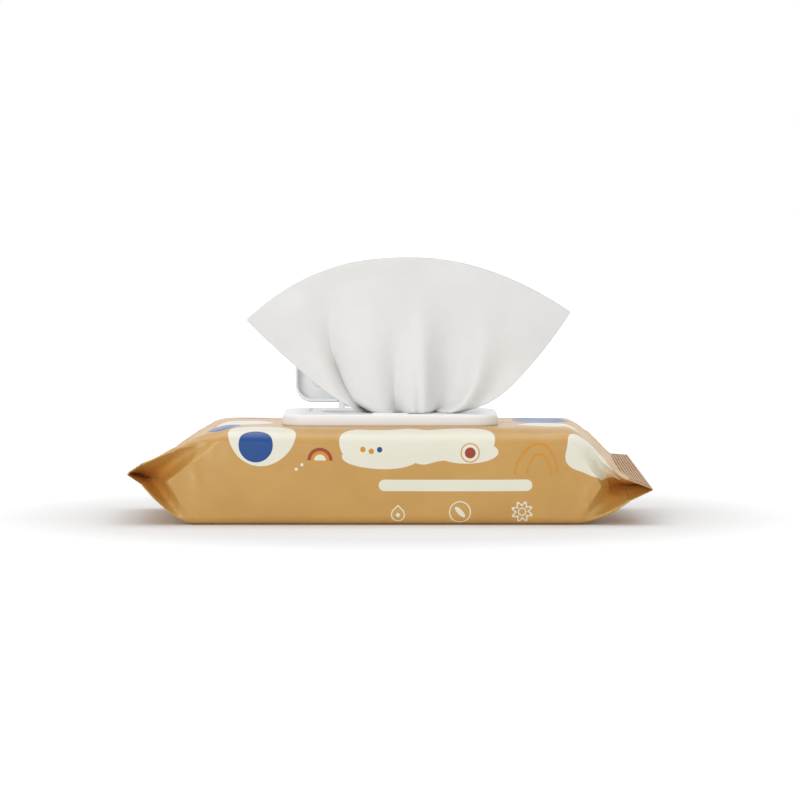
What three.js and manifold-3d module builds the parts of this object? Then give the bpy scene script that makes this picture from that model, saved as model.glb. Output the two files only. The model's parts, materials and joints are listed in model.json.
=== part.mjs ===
// Wet wipes pack: a gusseted film pouch with crimped ends, a hinged lid glued on top, one wipe pulled up.
// Millimetres. +X runs along the pack, +Y to the hinge side, +Z up.
// The origin is the middle of the underside.
import * as THREE from "three";
import { mergeVertices } from "three/addons/utils/BufferGeometryUtils.js";
import Module from "manifold-3d";

const wasm = await Module();
wasm.setup();

// The folded stack of wipes
const stackLength = 164;
const stackDepth = 94;
const stackHeight = 36.5;
const stackCorner = 4;
const foldRound = 1.6;

// The film pouch round the stack
const filmWall = 0.4;
const sideSlack = 2.2;
const headSpace = 4.3;
const seatGap = 0.3;
const topShoulder = 8;
const bottomShoulder = 3.5;
const foldShoulder = 0.8;
const shoulderShare = 0.45;
const sideBulge = 1;
const topBend = 5.5;
const lowBend = 4;

// The gusseted ends. Corners and creases are measured along X from the end of the stack.
const finReach = 34.4;
const tuckSlot = 0.4;
const foldSpare = 0.6;
const openFoldShare = 0.95;
const leftEnd = {
  topCorner: 2,
  bottomCorner: 9,
  apex: 16.5,
  apexRise: 19,
  front: { seal: 9.2, tipDrop: 1, rise: 20, pullIn: 0 },
  back: { seal: 9, tipDrop: 0.5, rise: 20.5, pullIn: 1.5 },
};
const rightEnd = {
  topCorner: 4,
  bottomCorner: 4.5,
  apex: 11.5,
  apexRise: 17,
  front: { seal: 10.4, tipDrop: 3, rise: 18.5, pullIn: 0 },
  back: { seal: 8, tipDrop: 0, rise: 25.5, pullIn: 6.5 },
};

// The crimp ridges pressed into both end seals
const crimpPitch = 1.5;
const crimpHeight = 0.35;

// The lengthwise back seal, folded flat into a shallow channel under the pouch
const backSealWidth = 11;
const backSealThickness = 0.4;
const backSealGap = 0.3;

// The rigid lid: base, sealing groove and orifice
const baseLength = 97.3;
const baseDepth = 62;
const baseHeight = 4.7;
const baseCorner = 12;
const baseWall = 1.4;
const deckWall = 1.8;
const edgeRound = 1.4;
const orificeLength = 62;
const orificeDepth = 26;
const grooveDepth = 0.8;
const padThickness = 0.3;
const padInset = 0.4;
const padHoleMargin = 1;
const filmHoleMargin = 2;
const glueGap = 0.05;

// The flap and its hinge
const flapLength = 87.6;
const frontMargin = 7.5;
const flapHeight = 6;
const flapCorner = 8;
const flapWall = 1.2;
const flapGap = 0.3;
const rimInset = 7.2;
const rimWall = 1.2;
const rimClearance = 0.4;
const smallestCorner = 1;
const tabLength = 16;
const tabCorner = 2;
const catchHeight = 0.8;
const catchGap = 0.3;
const hingeRadius = 1.9;
const hingeInset = 1.7;
const lugCentre = 22.35;
const lugWidth = 3.1;
const lugFootTrim = 0.6;
const pinRadius = 0.9;
const hingeClearance = 0.3;
const wallBehindHinge = 0.8;
const openAngle = 100;

// The raised wipe: where it lies on the lid, and the fan above
const wipeThickness = 0.9;
const contactWidth = 45;
const contactCentre = 9.5;
const contactMargin = 9.5;
const throatWidth = 36;
const throatCentre = 6;
const throatBack = 14;
const throatClearance = 3;
const fanWidth = 145;
const fanCentre = 8.3;
const fanTop = 116.2;
const cornerDrop = 26.5;
const cornerShift = 0.03;
const cornerPower = 2.2;
const edgeCurl = 5;

// How fast the wipe spreads with height: a lower power spreads sooner
const leftSpread = 0.8;
const middleSpread = 0.7;
const rightSpread = 0.6;
const rowCrowding = 1.25;

// How far the wipe leans back from the line where it lies on the lid: [share of its height, distance]
const wipeLean = [
  [0, 0],
  [0.04, -2],
  [0.14, -1],
  [0.35, 4],
  [0.7, 12],
  [1, 17],
];

// The wipe's folds. Places and widths are shares of its half width, reach is a share of its height.
const wipeFolds = [
  { low: -0.86, middle: -0.665, depth: 11, width: 0.1, reach: 1.1 },
  { low: -0.26, middle: -0.07, depth: 6.5, width: 0.15, reach: 0.9 },
  { low: 0.5, middle: 0.355, depth: 12, width: 0.15, reach: 1.05 },
  { low: 0.97, middle: 0.78, depth: 7, width: 0.12, reach: 0.9 },
];
const foldWidening = 0.45;

// The half of the wipe that still lies on the stack
const tailLength = 150;
const tailDepth = 80;
const tailCorner = 2;

// How far a cutting shape passes the faces that it cuts, and how uneven a cap's outline is made
const cutMargin = 1;
const capHair = 2e-3;

// Sizes that follow from the ones above
const packDepth = stackDepth + 2 * (sideSlack + filmWall);
const channelRise = backSealThickness + backSealGap;
const packHeight = stackHeight + headSpace + seatGap + channelRise + 2 * filmWall;
const halfDepth = packDepth / 2;
const stackEnd = stackLength / 2;
const finThickness = 4 * filmWall + tuckSlot;
const tuckDepth = packHeight / 2;
const padBottom = packHeight + glueGap;
const baseBottom = padBottom + padThickness + glueGap;
const deckTop = baseBottom + baseHeight;
const hingeY = baseDepth / 2 - hingeInset;
const barrelRadius = hingeRadius - hingeClearance;
const hingeZ = deckTop + barrelRadius + flapGap;
const flapBack = hingeY - wallBehindHinge;
const flapFront = frontMargin - baseDepth / 2;
const flapDepth = flapBack - flapFront;
const flapMiddle = (flapBack + flapFront) / 2;
const catchY = edgeRound + catchHeight - baseDepth / 2;
const tabReach = flapFront - catchY - catchHeight - catchGap;
const rimHalfLength = flapLength / 2 - rimInset;
const rimHalfDepth = flapDepth / 2 - rimInset;
const stackBottom = filmWall + channelRise + seatGap;
const stackTop = stackBottom + stackHeight;
const contactY = contactMargin - baseDepth / 2;
const contactZ = deckTop + seatGap + wipeThickness / 2;
const throatLimit = orificeDepth / 2 - throatClearance;

const materials = {
  film: new THREE.MeshStandardMaterial({ color: 0xc2995e, roughness: 0.42, metalness: 0 }),
  lid: new THREE.MeshStandardMaterial({ color: 0xe9e8e5, roughness: 0.35, metalness: 0 }),
  pad: new THREE.MeshStandardMaterial({ color: 0xf0efe9, roughness: 0.8, metalness: 0 }),
  wipe: new THREE.MeshStandardMaterial({ color: 0xf2f1ee, roughness: 0.95, metalness: 0 }),
};

const mix = (a, b, t) => a + (b - a) * t;
const mixPoint = (a, b, t) => a.map((value, i) => mix(value, b[i], t));
const clamp = (value, low, high) => Math.min(high, Math.max(low, value));

function smooth(t) {
  const c = clamp(t, 0, 1);
  return c * c * (3 - 2 * c);
}

// A closed solid from rings of points that all have the same count, with a cap on the first and last.
// flat gives the two coordinates in which a ring is seen as an outline.
function loft(rings, flat = ([, y, z]) => [y, z]) {
  const count = rings[0].length;
  const index = [];
  for (let r = 0; r + 1 < rings.length; r++) {
    for (let k = 0; k < count; k++) {
      const a = r * count + k;
      const b = r * count + ((k + 1) % count);
      index.push(a, b, b + count, a, b + count, a + count);
    }
  }
  // The caps are worked out on an outline uneven by a hair, which keeps the points of a straight run.
  const outline = (ring) =>
    ring.map((point, k) => {
      const [u, v] = flat(point);
      return new THREE.Vector2(u + capHair * Math.sin(2.4 * k), v + capHair * Math.cos(1.7 * k));
    });
  const clockwise = THREE.ShapeUtils.isClockWise(outline(rings[0]));
  const last = (rings.length - 1) * count;
  const addCap = (ring, first, turned) => {
    for (const [a, b, c] of THREE.ShapeUtils.triangulateShape(outline(ring), [])) {
      index.push(first + a, first + (turned ? c : b), first + (turned ? b : c));
    }
  };
  addCap(rings[0], 0, !clockwise);
  addCap(rings[rings.length - 1], last, clockwise);
  return solidFrom(rings.flat(2), index);
}

// A manifold solid from raw points and faces, turned so that its faces point out.
function solidFrom(points, index) {
  const vertProperties = new Float32Array(points);
  const make = (triangles) => {
    const triVerts = new Uint32Array(triangles);
    return new wasm.Manifold(new wasm.Mesh({ numProp: 3, vertProperties, triVerts }));
  };
  const made = make(index);
  if (made.volume() > 0) {
    return made;
  }
  const turned = [];
  for (let i = 0; i < index.length; i += 3) {
    turned.push(index[i], index[i + 2], index[i + 1]);
  }
  return make(turned);
}

// A manifold solid from one of the closed three.js geometries.
function solidOf(geometry) {
  const bare = geometry.clone();
  bare.deleteAttribute("normal");
  bare.deleteAttribute("uv");
  const merged = mergeVertices(bare, 1e-4);
  return solidFrom([...merged.attributes.position.array], [...merged.index.array]);
}

function meshOf(solid, name, material) {
  const { numProp, vertProperties, triVerts } = solid.getMesh();
  if (numProp !== 3) {
    throw new Error(`${name} carries more than positions`);
  }
  const geometry = new THREE.BufferGeometry();
  geometry.setAttribute("position", new THREE.BufferAttribute(new Float32Array(vertProperties), 3));
  geometry.setIndex(new THREE.BufferAttribute(new Uint32Array(triVerts), 1));
  geometry.computeVertexNormals();
  const mesh = new THREE.Mesh(geometry, material);
  mesh.name = name;
  return mesh;
}

function box(low, high) {
  const size = high.map((value, i) => value - low[i]);
  const geometry = new THREE.BoxGeometry(...size);
  geometry.translate(...low.map((value, i) => value + size[i] / 2));
  return solidOf(geometry);
}

// A round bar along X.
function bar(fromX, toX, y, z, radius, sides = 24) {
  const geometry = new THREE.CylinderGeometry(radius, radius, toX - fromX, sides);
  geometry.rotateZ(Math.PI / 2);
  geometry.translate((fromX + toX) / 2, y, z);
  return solidOf(geometry);
}

// A plate with a rounded outline. Each level is [height, inset], from the lowest up.
function plate(halfX, halfY, corner, centreY, levels, steps = 8) {
  const ring = ([z, inset]) => {
    const radius = Math.max(corner - inset, smallestCorner);
    const points = [];
    for (let quarter = 0; quarter < 4; quarter++) {
      const signX = quarter === 0 || quarter === 3 ? 1 : -1;
      const signY = quarter < 2 ? 1 : -1;
      const cornerX = signX * (halfX - inset - radius);
      const cornerY = signY * (halfY - inset - radius);
      for (let step = 0; step <= steps; step++) {
        const angle = ((quarter + step / steps) * Math.PI) / 2;
        const x = cornerX + radius * Math.cos(angle);
        points.push([x, centreY + cornerY + radius * Math.sin(angle), z]);
      }
    }
    return points;
  };
  return loft(levels.map(ring), ([x, y]) => [x, y]);
}

// Levels of a plate with upright sides.
function upright(bottom, top) {
  return [
    [bottom, 0],
    [top, 0],
  ];
}

// Levels of a plate whose upper or lower edge is rounded over.
function roundedLevels(bottom, top, topRound, bottomRound = 0, steps = 4) {
  const levels = [];
  for (let step = 0; step <= (bottomRound > 0 ? steps : 0); step++) {
    const angle = ((step / steps) * Math.PI) / 2;
    levels.push([bottom + bottomRound * (1 - Math.cos(angle)), bottomRound * (1 - Math.sin(angle))]);
  }
  for (let step = 0; step <= steps; step++) {
    const angle = ((step / steps) * Math.PI) / 2;
    levels.push([top - topRound * (1 - Math.sin(angle)), topRound * (1 - Math.cos(angle))]);
  }
  return levels;
}

// An end seal is a straight strip from its front to its back, so at any depth it is a mix of the two.
function sealAt(end, y) {
  const share = (y + halfDepth) / packDepth;
  const value = (key) => mix(end.front[key], end.back[key], share);
  const [seal, tipDrop, rise, pullIn] = ["seal", "tipDrop", "rise", "pullIn"].map(value);
  return { seal, tipDrop, rise, pullIn };
}

// The fold lines of one side of one end, from the body's crease (0) to the inner edge of the seal (1).
// side is -1 for the front and 1 for the back, way is -1 for the left end and 1 for the right.
function foldLines(way, side, t) {
  const end = way < 0 ? leftEnd : rightEnd;
  const edge = sealAt(end, side * halfDepth);
  const bend = (corner, lead, height, finish) => {
    const sealStart = finReach - edge.seal - edge.pullIn;
    const weights = [(1 - t) ** 2, 2 * t * (1 - t), t ** 2];
    const x = weights[0] * (corner - lead) + weights[1] * (corner + lead) + weights[2] * sealStart;
    return [way * (stackEnd + x), (weights[0] + weights[1]) * height + weights[2] * finish];
  };
  const [topX, topZ] = bend(end.topCorner, topBend, packHeight, edge.rise + finThickness / 2);
  const [lowX, lowZ] = bend(end.bottomCorner, lowBend, 0, edge.rise - finThickness / 2);
  const tuckY = side * (halfDepth - tuckDepth * Math.sin((smooth(t) * Math.PI) / 2));
  const root = sealAt(end, tuckY);
  const tuckX = mix(end.apex, finReach - root.seal - root.pullIn, t);
  return {
    top: [topX, side * halfDepth, topZ],
    low: [lowX, side * halfDepth, lowZ],
    tuck: [way * (stackEnd + tuckX), tuckY, mix(end.apexRise, root.rise, t)],
    folded: smooth(t * 1.6),
    sharp: smooth(t * 2),
    channel: channelRise * (1 - smooth(t * 3)),
  };
}

// The same lines along the straight body, t from the left crease (0) to the right one (1).
function bodyLines(side, t) {
  const left = foldLines(-1, side, 0);
  const right = foldLines(1, side, 0);
  const tuck = mixPoint(left.tuck, right.tuck, t);
  const bulge = side * sideBulge * Math.sqrt(Math.sin(Math.PI * t));
  return {
    top: mixPoint(left.top, right.top, t),
    low: mixPoint(left.low, right.low, t),
    tuck: [tuck[0], tuck[1] + bulge, tuck[2]],
    folded: 0,
    sharp: 0,
    channel: channelRise,
  };
}

function ridgeCount(way) {
  return Math.round((way < 0 ? leftEnd : rightEnd).front.seal / crimpPitch);
}

// The same lines across the seal, t from its inner edge (0) to its outer edge (1), with the crimp ridges.
function sealLines(way, side, t) {
  const inner = foldLines(way, side, 1);
  const ridge = crimpHeight * (0.5 - 0.5 * Math.cos(2 * Math.PI * ridgeCount(way) * t));
  const move = ([x, y, z]) => {
    const strip = sealAt(way < 0 ? leftEnd : rightEnd, y);
    return [x + way * strip.seal * t, y, z - strip.tipDrop * t + ridge];
  };
  return { ...inner, top: move(inner.top), low: move(inner.low), tuck: move(inner.tuck) };
}

// One ring of the film's outer face. A wall moves it in, for the pouch's inner face.
function filmRing(front, back, wall, topSteps) {
  const edgeSteps = 4;
  const half = (lines, side) => {
    const inward = -side;
    const slot = tuckSlot / 2;
    const fold = 2 * filmWall * lines.folded;
    const rise = lines.top[2] - fold - (lines.tuck[2] + slot);
    const fall = lines.tuck[2] - slot - (lines.low[2] + fold);
    const depth = Math.abs(lines.tuck[1] - lines.top[1]);
    const tip = (height) => {
      const angle = Math.atan2(Math.max(height, capHair), depth);
      const cosine = Math.cos(angle);
      return (wall * (1 + cosine - 2 * lines.folded * cosine)) / Math.sin(angle);
    };
    const spare = wall > 0 ? foldSpare * lines.folded : 0;
    const upper = [lines.top[0], lines.top[1] + inward * (tip(rise) + spare), lines.top[2] - wall];
    const lower = [lines.low[0], lines.low[1] + inward * (tip(fall) + spare), lines.low[2] + wall];
    const tuckIn = lines.tuck[1] + inward * wall;
    const tuckUp = [lines.tuck[0], tuckIn, lines.tuck[2] + slot + wall * lines.folded];
    const tuckDown = [lines.tuck[0], tuckIn, lines.tuck[2] - slot - wall * lines.folded];
    const underFold = wall > 0 ? 0 : fold;
    return { upper, lower, tuckUp, tuckDown, underFold, inward, sharp: lines.sharp };
  };
  // A rounded edge between the flat panel and the side: a curve pulled towards the corner.
  const edge = (corner, inward, target, radius, foldDown) => {
    const across = target.map((value, i) => value - corner[i]);
    const length = Math.hypot(...across);
    const reach = Math.min(radius, length * shoulderShare);
    const start = [corner[0], corner[1] + inward * reach, corner[2]];
    const under = [corner[0], corner[1], corner[2] - foldDown];
    const finish = mixPoint(under, target, reach / length);
    const points = [];
    for (let step = 0; step <= edgeSteps; step++) {
      const t = step / edgeSteps;
      const weights = [(1 - t) ** 3, 3 * t * (1 - t) ** 2, 3 * t * t * (1 - t), t ** 3];
      const knots = [start, corner, under, finish];
      const blend = (i) => weights.reduce((sum, w, k) => sum + w * knots[k][i], 0);
      points.push([0, 1, 2].map(blend));
    }
    return points;
  };
  const topRadius = (shape) => mix(topShoulder, foldShoulder, shape.sharp);
  const lowRadius = (shape) => mix(bottomShoulder, foldShoulder, shape.sharp);
  const f = half(front, -1);
  const b = half(back, 1);
  const frontTop = edge(f.upper, f.inward, f.tuckUp, topRadius(f), f.underFold);
  const frontLow = edge(f.lower, f.inward, f.tuckDown, lowRadius(f), -f.underFold).reverse();
  const backLow = edge(b.lower, b.inward, b.tuckDown, lowRadius(b), -b.underFold);
  const backTop = edge(b.upper, b.inward, b.tuckUp, topRadius(b), b.underFold).reverse();
  const between = (from, to, steps) => {
    const points = [];
    for (let step = 1; step < steps; step++) {
      points.push(mixPoint(from, to, step / steps));
    }
    return points;
  };
  // The underside between its two rounded edges, with the channel of the back seal.
  const under = (from, to) => {
    const edges = [
      [-2 * backSealGap, 0],
      [-backSealGap, front.channel],
      [backSealWidth + backSealGap, front.channel],
      [backSealWidth + 2 * backSealGap, 0],
    ];
    return edges.map(([y, rise]) => {
      const [x, , z] = mixPoint(from, to, (y - from[1]) / (to[1] - from[1]));
      return [x, y, z + rise];
    });
  };
  return [
    ...frontTop,
    ...between(frontTop[frontTop.length - 1], f.tuckUp, 2),
    f.tuckUp,
    f.tuckDown,
    ...between(f.tuckDown, frontLow[0], 2),
    ...frontLow,
    ...under(frontLow[frontLow.length - 1], backLow[0]),
    ...backLow,
    ...between(backLow[backLow.length - 1], b.tuckDown, 2),
    b.tuckDown,
    b.tuckUp,
    ...between(b.tuckUp, backTop[0], 2),
    ...backTop,
    ...between(backTop[backTop.length - 1], frontTop[0], topSteps),
  ];
}

function filmWrapper() {
  const bodySteps = 10;
  const endSteps = 8;
  const topSteps = 6;
  const stations = [];
  const leftRidges = 2 * ridgeCount(-1);
  const rightRidges = 2 * ridgeCount(1);
  for (let step = 0; step <= leftRidges; step++) {
    stations.push([(side) => sealLines(-1, side, 1 - step / leftRidges), false]);
  }
  for (let step = 1; step <= endSteps; step++) {
    const t = 1 - step / endSteps;
    stations.push([(side) => foldLines(-1, side, t), t < openFoldShare]);
  }
  for (let step = 1; step < bodySteps; step++) {
    stations.push([(side) => bodyLines(side, step / bodySteps), true]);
  }
  for (let step = 0; step < endSteps; step++) {
    const t = step / endSteps;
    stations.push([(side) => foldLines(1, side, t), t < openFoldShare]);
  }
  for (let step = 0; step <= rightRidges; step++) {
    stations.push([(side) => sealLines(1, side, step / rightRidges), false]);
  }
  const outer = stations.map(([lines]) => filmRing(lines(-1), lines(1), 0, topSteps));
  const hollow = stations.filter(([, open]) => open);
  const inner = hollow.map(([lines]) => filmRing(lines(-1), lines(1), filmWall, topSteps));
  const mouthDepth = orificeDepth / 2 + filmHoleMargin;
  const mouthLevels = upright(stackTop, packHeight + cutMargin);
  const mouth = plate(orificeLength / 2 + filmHoleMargin, mouthDepth, mouthDepth, 0, mouthLevels);
  return loft(outer).subtract(loft(inner)).subtract(mouth).add(backSeal());
}

// The back seal lies on its side in the channel and joins the film along its root.
function backSeal() {
  const flatStart = -(stackEnd + leftEnd.bottomCorner - lowBend);
  const flatEnd = stackEnd + rightEnd.bottomCorner - lowBend;
  const strip = box([flatStart, 0, 0], [flatEnd, backSealWidth, backSealThickness]);
  const root = box([flatStart, 0, 0], [flatEnd, filmWall, channelRise + filmWall / 2]);
  return strip.add(root);
}

// The stack has its folded edges rounded along the front and the back.
function wipeStack() {
  const edgeSteps = 3;
  const cornerSteps = 4;
  const levels = roundedLevels(stackBottom, stackTop, foldRound, foldRound, edgeSteps);
  return plate(stackLength / 2, stackDepth / 2, stackCorner, 0, levels, cornerSteps);
}

function adhesivePad() {
  const outsideLevels = upright(padBottom, padBottom + padThickness);
  const cutLevels = upright(padBottom - cutMargin, padBottom + padThickness + cutMargin);
  const halfLength = baseLength / 2 - padInset;
  const halfWidth = baseDepth / 2 - padInset;
  const outside = plate(halfLength, halfWidth, baseCorner - padInset, 0, outsideLevels);
  const holeHalf = orificeDepth / 2 + padHoleMargin;
  const inside = plate(orificeLength / 2 + padHoleMargin, holeHalf, holeHalf, 0, cutLevels);
  return outside.subtract(inside);
}

// A ring of constant width round the flap's sealing rim, used for the rim and for its groove.
function rimRing(bottom, top, spare) {
  const corner = flapCorner - rimInset / 2;
  const halfLength = rimHalfLength + spare;
  const halfWidth = rimHalfDepth + spare;
  const outside = plate(halfLength, halfWidth, corner + spare, flapMiddle, upright(bottom, top));
  const cut = rimWall + spare;
  const cutCorner = Math.max(corner - cut, smallestCorner);
  const cutLevels = upright(bottom - cutMargin, top + cutMargin);
  const inside = plate(rimHalfLength - cut, rimHalfDepth - cut, cutCorner, flapMiddle, cutLevels);
  return outside.subtract(inside);
}

function lidBase() {
  const halfLength = baseLength / 2;
  const halfDepthOfBase = baseDepth / 2;
  const edges = roundedLevels(baseBottom, deckTop, edgeRound);
  const body = plate(halfLength, halfDepthOfBase, baseCorner, 0, edges);
  const underDeck = deckTop - deckWall;
  const hollow = plate(
    halfLength - baseWall,
    halfDepthOfBase - baseWall,
    baseCorner - baseWall,
    0,
    upright(baseBottom - cutMargin, underDeck),
  );
  const collarHalf = orificeDepth / 2 + baseWall;
  const collarLevels = upright(baseBottom, underDeck + deckWall / 2);
  const collar = plate(orificeLength / 2 + baseWall, collarHalf, collarHalf, 0, collarLevels);
  const holeLevels = upright(baseBottom - cutMargin, deckTop + cutMargin);
  const hole = plate(orificeLength / 2, orificeDepth / 2, orificeDepth / 2, 0, holeLevels);
  const groove = rimRing(deckTop - grooveDepth, deckTop + cutMargin, rimClearance);
  let base = body.subtract(hollow).add(collar).subtract(hole).subtract(groove);
  const pinHoleRadius = pinRadius + hingeClearance;
  const footBack = hingeY + hingeRadius - lugFootTrim;
  for (const side of [-1, 1]) {
    const fromX = side * lugCentre - lugWidth / 2;
    const toX = side * lugCentre + lugWidth / 2;
    const lug = bar(fromX, toX, hingeY, hingeZ, hingeRadius);
    const foot = box([fromX, hingeY - hingeRadius, deckTop - edgeRound], [toX, footBack, hingeZ]);
    const pinHole = bar(fromX - cutMargin, toX + cutMargin, hingeY, hingeZ, pinHoleRadius, 16);
    base = base.add(lug).add(foot).subtract(pinHole);
  }
  return base.add(bar(-tabLength / 2, tabLength / 2, catchY, deckTop, catchHeight, 16));
}

// The flap is drawn shut, in the pack's own place, and then swung open about the hinge.
function lidFlap() {
  const bottom = deckTop + flapGap;
  const top = bottom + flapHeight;
  const halfLength = flapLength / 2;
  const edges = roundedLevels(bottom, top, edgeRound);
  const shell = plate(halfLength, flapDepth / 2, flapCorner, flapMiddle, edges);
  const hollow = plate(
    halfLength - flapWall,
    flapDepth / 2 - flapWall,
    flapCorner - flapWall,
    flapMiddle,
    upright(bottom - cutMargin, top - flapWall),
  );
  const rim = rimRing(deckTop - grooveDepth + flapGap, top - flapWall / 2, 0);
  const tabLevels = upright(bottom, bottom + flapWall);
  const tabPlate = plate(tabLength / 2, tabReach, tabCorner, flapFront, tabLevels);
  const behindWall = box(
    [-tabLength, flapFront + flapWall, bottom - cutMargin],
    [tabLength, flapFront + 2 * tabReach, top],
  );
  let flap = shell.subtract(hollow).add(rim).add(tabPlate.subtract(behindWall));
  const lugInside = lugCentre - lugWidth / 2;
  const lugOutside = lugCentre + lugWidth / 2;
  const barrelEnd = lugInside - hingeClearance;
  for (const side of [-1, 1]) {
    const edgesOfLug = [side * barrelEnd, side * (lugOutside + hingeClearance)];
    const notch = box(
      [Math.min(...edgesOfLug), hingeY - hingeRadius - hingeClearance, bottom - cutMargin],
      [Math.max(...edgesOfLug), flapBack + cutMargin, hingeZ + hingeRadius + hingeClearance],
    );
    flap = flap.subtract(notch);
  }
  const barrel = bar(-barrelEnd, barrelEnd, hingeY, hingeZ, barrelRadius);
  const pin = bar(-lugOutside, lugOutside, hingeY, hingeZ, pinRadius, 16);
  return flap.add(barrel).add(pin);
}

// A value between the points of a curve that is given as [place, value].
function along(curve, place) {
  const next = Math.max(curve.findIndex(([at]) => at >= place), 1);
  const [fromAt, from] = curve[next - 1];
  const [toAt, to] = curve[next];
  return mix(from, to, (place - fromAt) / (toAt - fromAt));
}

// A point of the wipe above the lid. a runs from -1 at its left edge to 1, up from 0 at the lid to 1.
function fanPoint(a, up) {
  const spread = up ** mix(middleSpread, a < 0 ? leftSpread : rightSpread, Math.abs(a));
  const x = mix(contactCentre + (a * contactWidth) / 2, fanCentre + (a * fanWidth) / 2, spread);
  const topZ = fanTop - cornerDrop * Math.abs(a - cornerShift) ** cornerPower;
  let y = contactY + along(wipeLean, up) + edgeCurl * (up * a ** 2 + (1 - up) * a ** 4);
  for (const { low, middle, depth, width, reach } of wipeFolds) {
    const away = (a - low - (middle - low) * 2 * up) / (width * (1 + foldWidening * up));
    y += depth * (1 - smooth(up / reach)) * Math.exp(-(away ** 2));
  }
  return [x, y, mix(contactZ, topZ, up)];
}

// The pulled wipe: it stands in folds above the lid, runs back over the deck and down to the stack.
function raisedWipe() {
  const columns = 60;
  const rowsAbove = 12;
  const neckBottom = stackTop + seatGap + wipeThickness / 2;
  const half = wipeThickness / 2;
  const throatPoint = (a, z) => {
    const y = clamp(fanPoint(a, 0)[1] + throatBack, -throatLimit, throatLimit);
    return [throatCentre + (a * throatWidth) / 2, y, z];
  };
  // Each row is a line across the sheet, with the way from its middle to its back face.
  const lines = [];
  for (let row = 0; row < rowsAbove; row++) {
    const up = (1 - row / rowsAbove) ** rowCrowding;
    lines.push([(a) => fanPoint(a, up), [half, 0]]);
  }
  lines.push([(a) => fanPoint(a, 0), [half, half]]);
  lines.push([(a) => throatPoint(a, contactZ), [half, half]]);
  lines.push([(a) => throatPoint(a, neckBottom), [half, 0]]);
  const rows = lines.length - 1;
  const points = [];
  for (const side of [-1, 1]) {
    for (const [line, [backY, backZ]] of lines) {
      for (let column = 0; column <= columns; column++) {
        const [x, y, z] = line((2 * column) / columns - 1);
        points.push(x, y + side * backY, z + side * backZ);
      }
    }
  }
  const across = columns + 1;
  const layer = across * (rows + 1);
  const index = [];
  const quad = (a, b, c, d) => index.push(a, b, c, a, c, d);
  for (let row = 0; row < rows; row++) {
    for (let column = 0; column < columns; column++) {
      const a = row * across + column;
      quad(a, a + 1, a + 1 + across, a + across);
      quad(a + layer, a + across + layer, a + 1 + across + layer, a + 1 + layer);
    }
    const left = row * across;
    const right = left + columns;
    quad(left, left + across, left + across + layer, left + layer);
    quad(right, right + layer, right + across + layer, right + across);
  }
  const lowest = rows * across;
  for (let column = 0; column < columns; column++) {
    quad(column, column + layer, column + 1 + layer, column + 1);
    const a = lowest + column;
    quad(a, a + 1, a + 1 + layer, a + layer);
  }
  const tailBottom = stackTop + seatGap;
  const tailLevels = upright(tailBottom, tailBottom + wipeThickness);
  const tail = plate(tailLength / 2, tailDepth / 2, tailCorner, 0, tailLevels, 3);
  return solidFrom(points, index).add(tail);
}

const pack = new THREE.Group();
pack.add(meshOf(filmWrapper(), "film_wrapper", materials.film));
pack.add(meshOf(wipeStack(), "wipe_stack", materials.wipe));
pack.add(meshOf(adhesivePad(), "adhesive_pad", materials.pad));
pack.add(meshOf(lidBase(), "lid_base", materials.lid));
pack.add(meshOf(raisedWipe(), "raised_wipe", materials.wipe));

// The flap swings about the hinge line: its group sits there, turned open.
const flapMesh = meshOf(lidFlap(), "lid_flap", materials.lid);
flapMesh.position.set(0, -hingeY, -hingeZ);
const flapSwing = new THREE.Group();
flapSwing.position.set(0, hingeY, hingeZ);
flapSwing.rotation.x = THREE.MathUtils.degToRad(-openAngle);
flapSwing.add(flapMesh);
pack.add(flapSwing);

export default pack;
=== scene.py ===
# %% [markdown]
# A wet wipes pack: a tan film pouch with gusseted, crimped ends, a white flip-top lid glued on its
# top, and one wipe pulled up through the lid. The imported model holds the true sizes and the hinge.
# This lesson dresses it: each piece is rebuilt as a finer mesh in the same place, so that it can
# carry soft folds, rounded edges and a printed film.

# %% Load the frame
import json
import math
from functools import partial

import bmesh
import bpy
import numpy as np
from mathutils import Matrix, Vector, noise


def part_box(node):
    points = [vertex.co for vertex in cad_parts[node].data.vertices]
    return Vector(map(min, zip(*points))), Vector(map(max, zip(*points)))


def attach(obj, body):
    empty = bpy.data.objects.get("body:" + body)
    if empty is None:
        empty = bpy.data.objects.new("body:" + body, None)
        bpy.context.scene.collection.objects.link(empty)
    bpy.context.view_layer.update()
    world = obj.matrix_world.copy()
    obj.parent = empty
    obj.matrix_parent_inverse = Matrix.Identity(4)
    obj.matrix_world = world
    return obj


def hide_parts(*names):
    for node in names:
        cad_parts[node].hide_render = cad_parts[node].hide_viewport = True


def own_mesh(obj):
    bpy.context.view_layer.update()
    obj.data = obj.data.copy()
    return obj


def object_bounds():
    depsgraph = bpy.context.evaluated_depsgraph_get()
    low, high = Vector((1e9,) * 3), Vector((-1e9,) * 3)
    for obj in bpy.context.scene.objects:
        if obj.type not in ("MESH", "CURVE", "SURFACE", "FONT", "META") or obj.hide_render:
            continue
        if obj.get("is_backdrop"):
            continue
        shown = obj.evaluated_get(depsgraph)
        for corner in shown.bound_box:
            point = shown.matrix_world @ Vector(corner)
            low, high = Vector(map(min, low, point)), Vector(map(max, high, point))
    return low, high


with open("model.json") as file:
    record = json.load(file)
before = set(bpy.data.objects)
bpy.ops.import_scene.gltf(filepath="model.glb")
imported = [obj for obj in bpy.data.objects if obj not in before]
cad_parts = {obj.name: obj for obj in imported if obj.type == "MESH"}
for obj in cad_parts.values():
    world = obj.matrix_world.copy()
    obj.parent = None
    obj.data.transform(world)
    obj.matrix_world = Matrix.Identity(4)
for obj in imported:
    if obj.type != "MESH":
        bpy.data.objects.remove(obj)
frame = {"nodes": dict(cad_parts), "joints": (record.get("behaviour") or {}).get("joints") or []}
cad_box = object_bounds()
MM = 0.001


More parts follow.
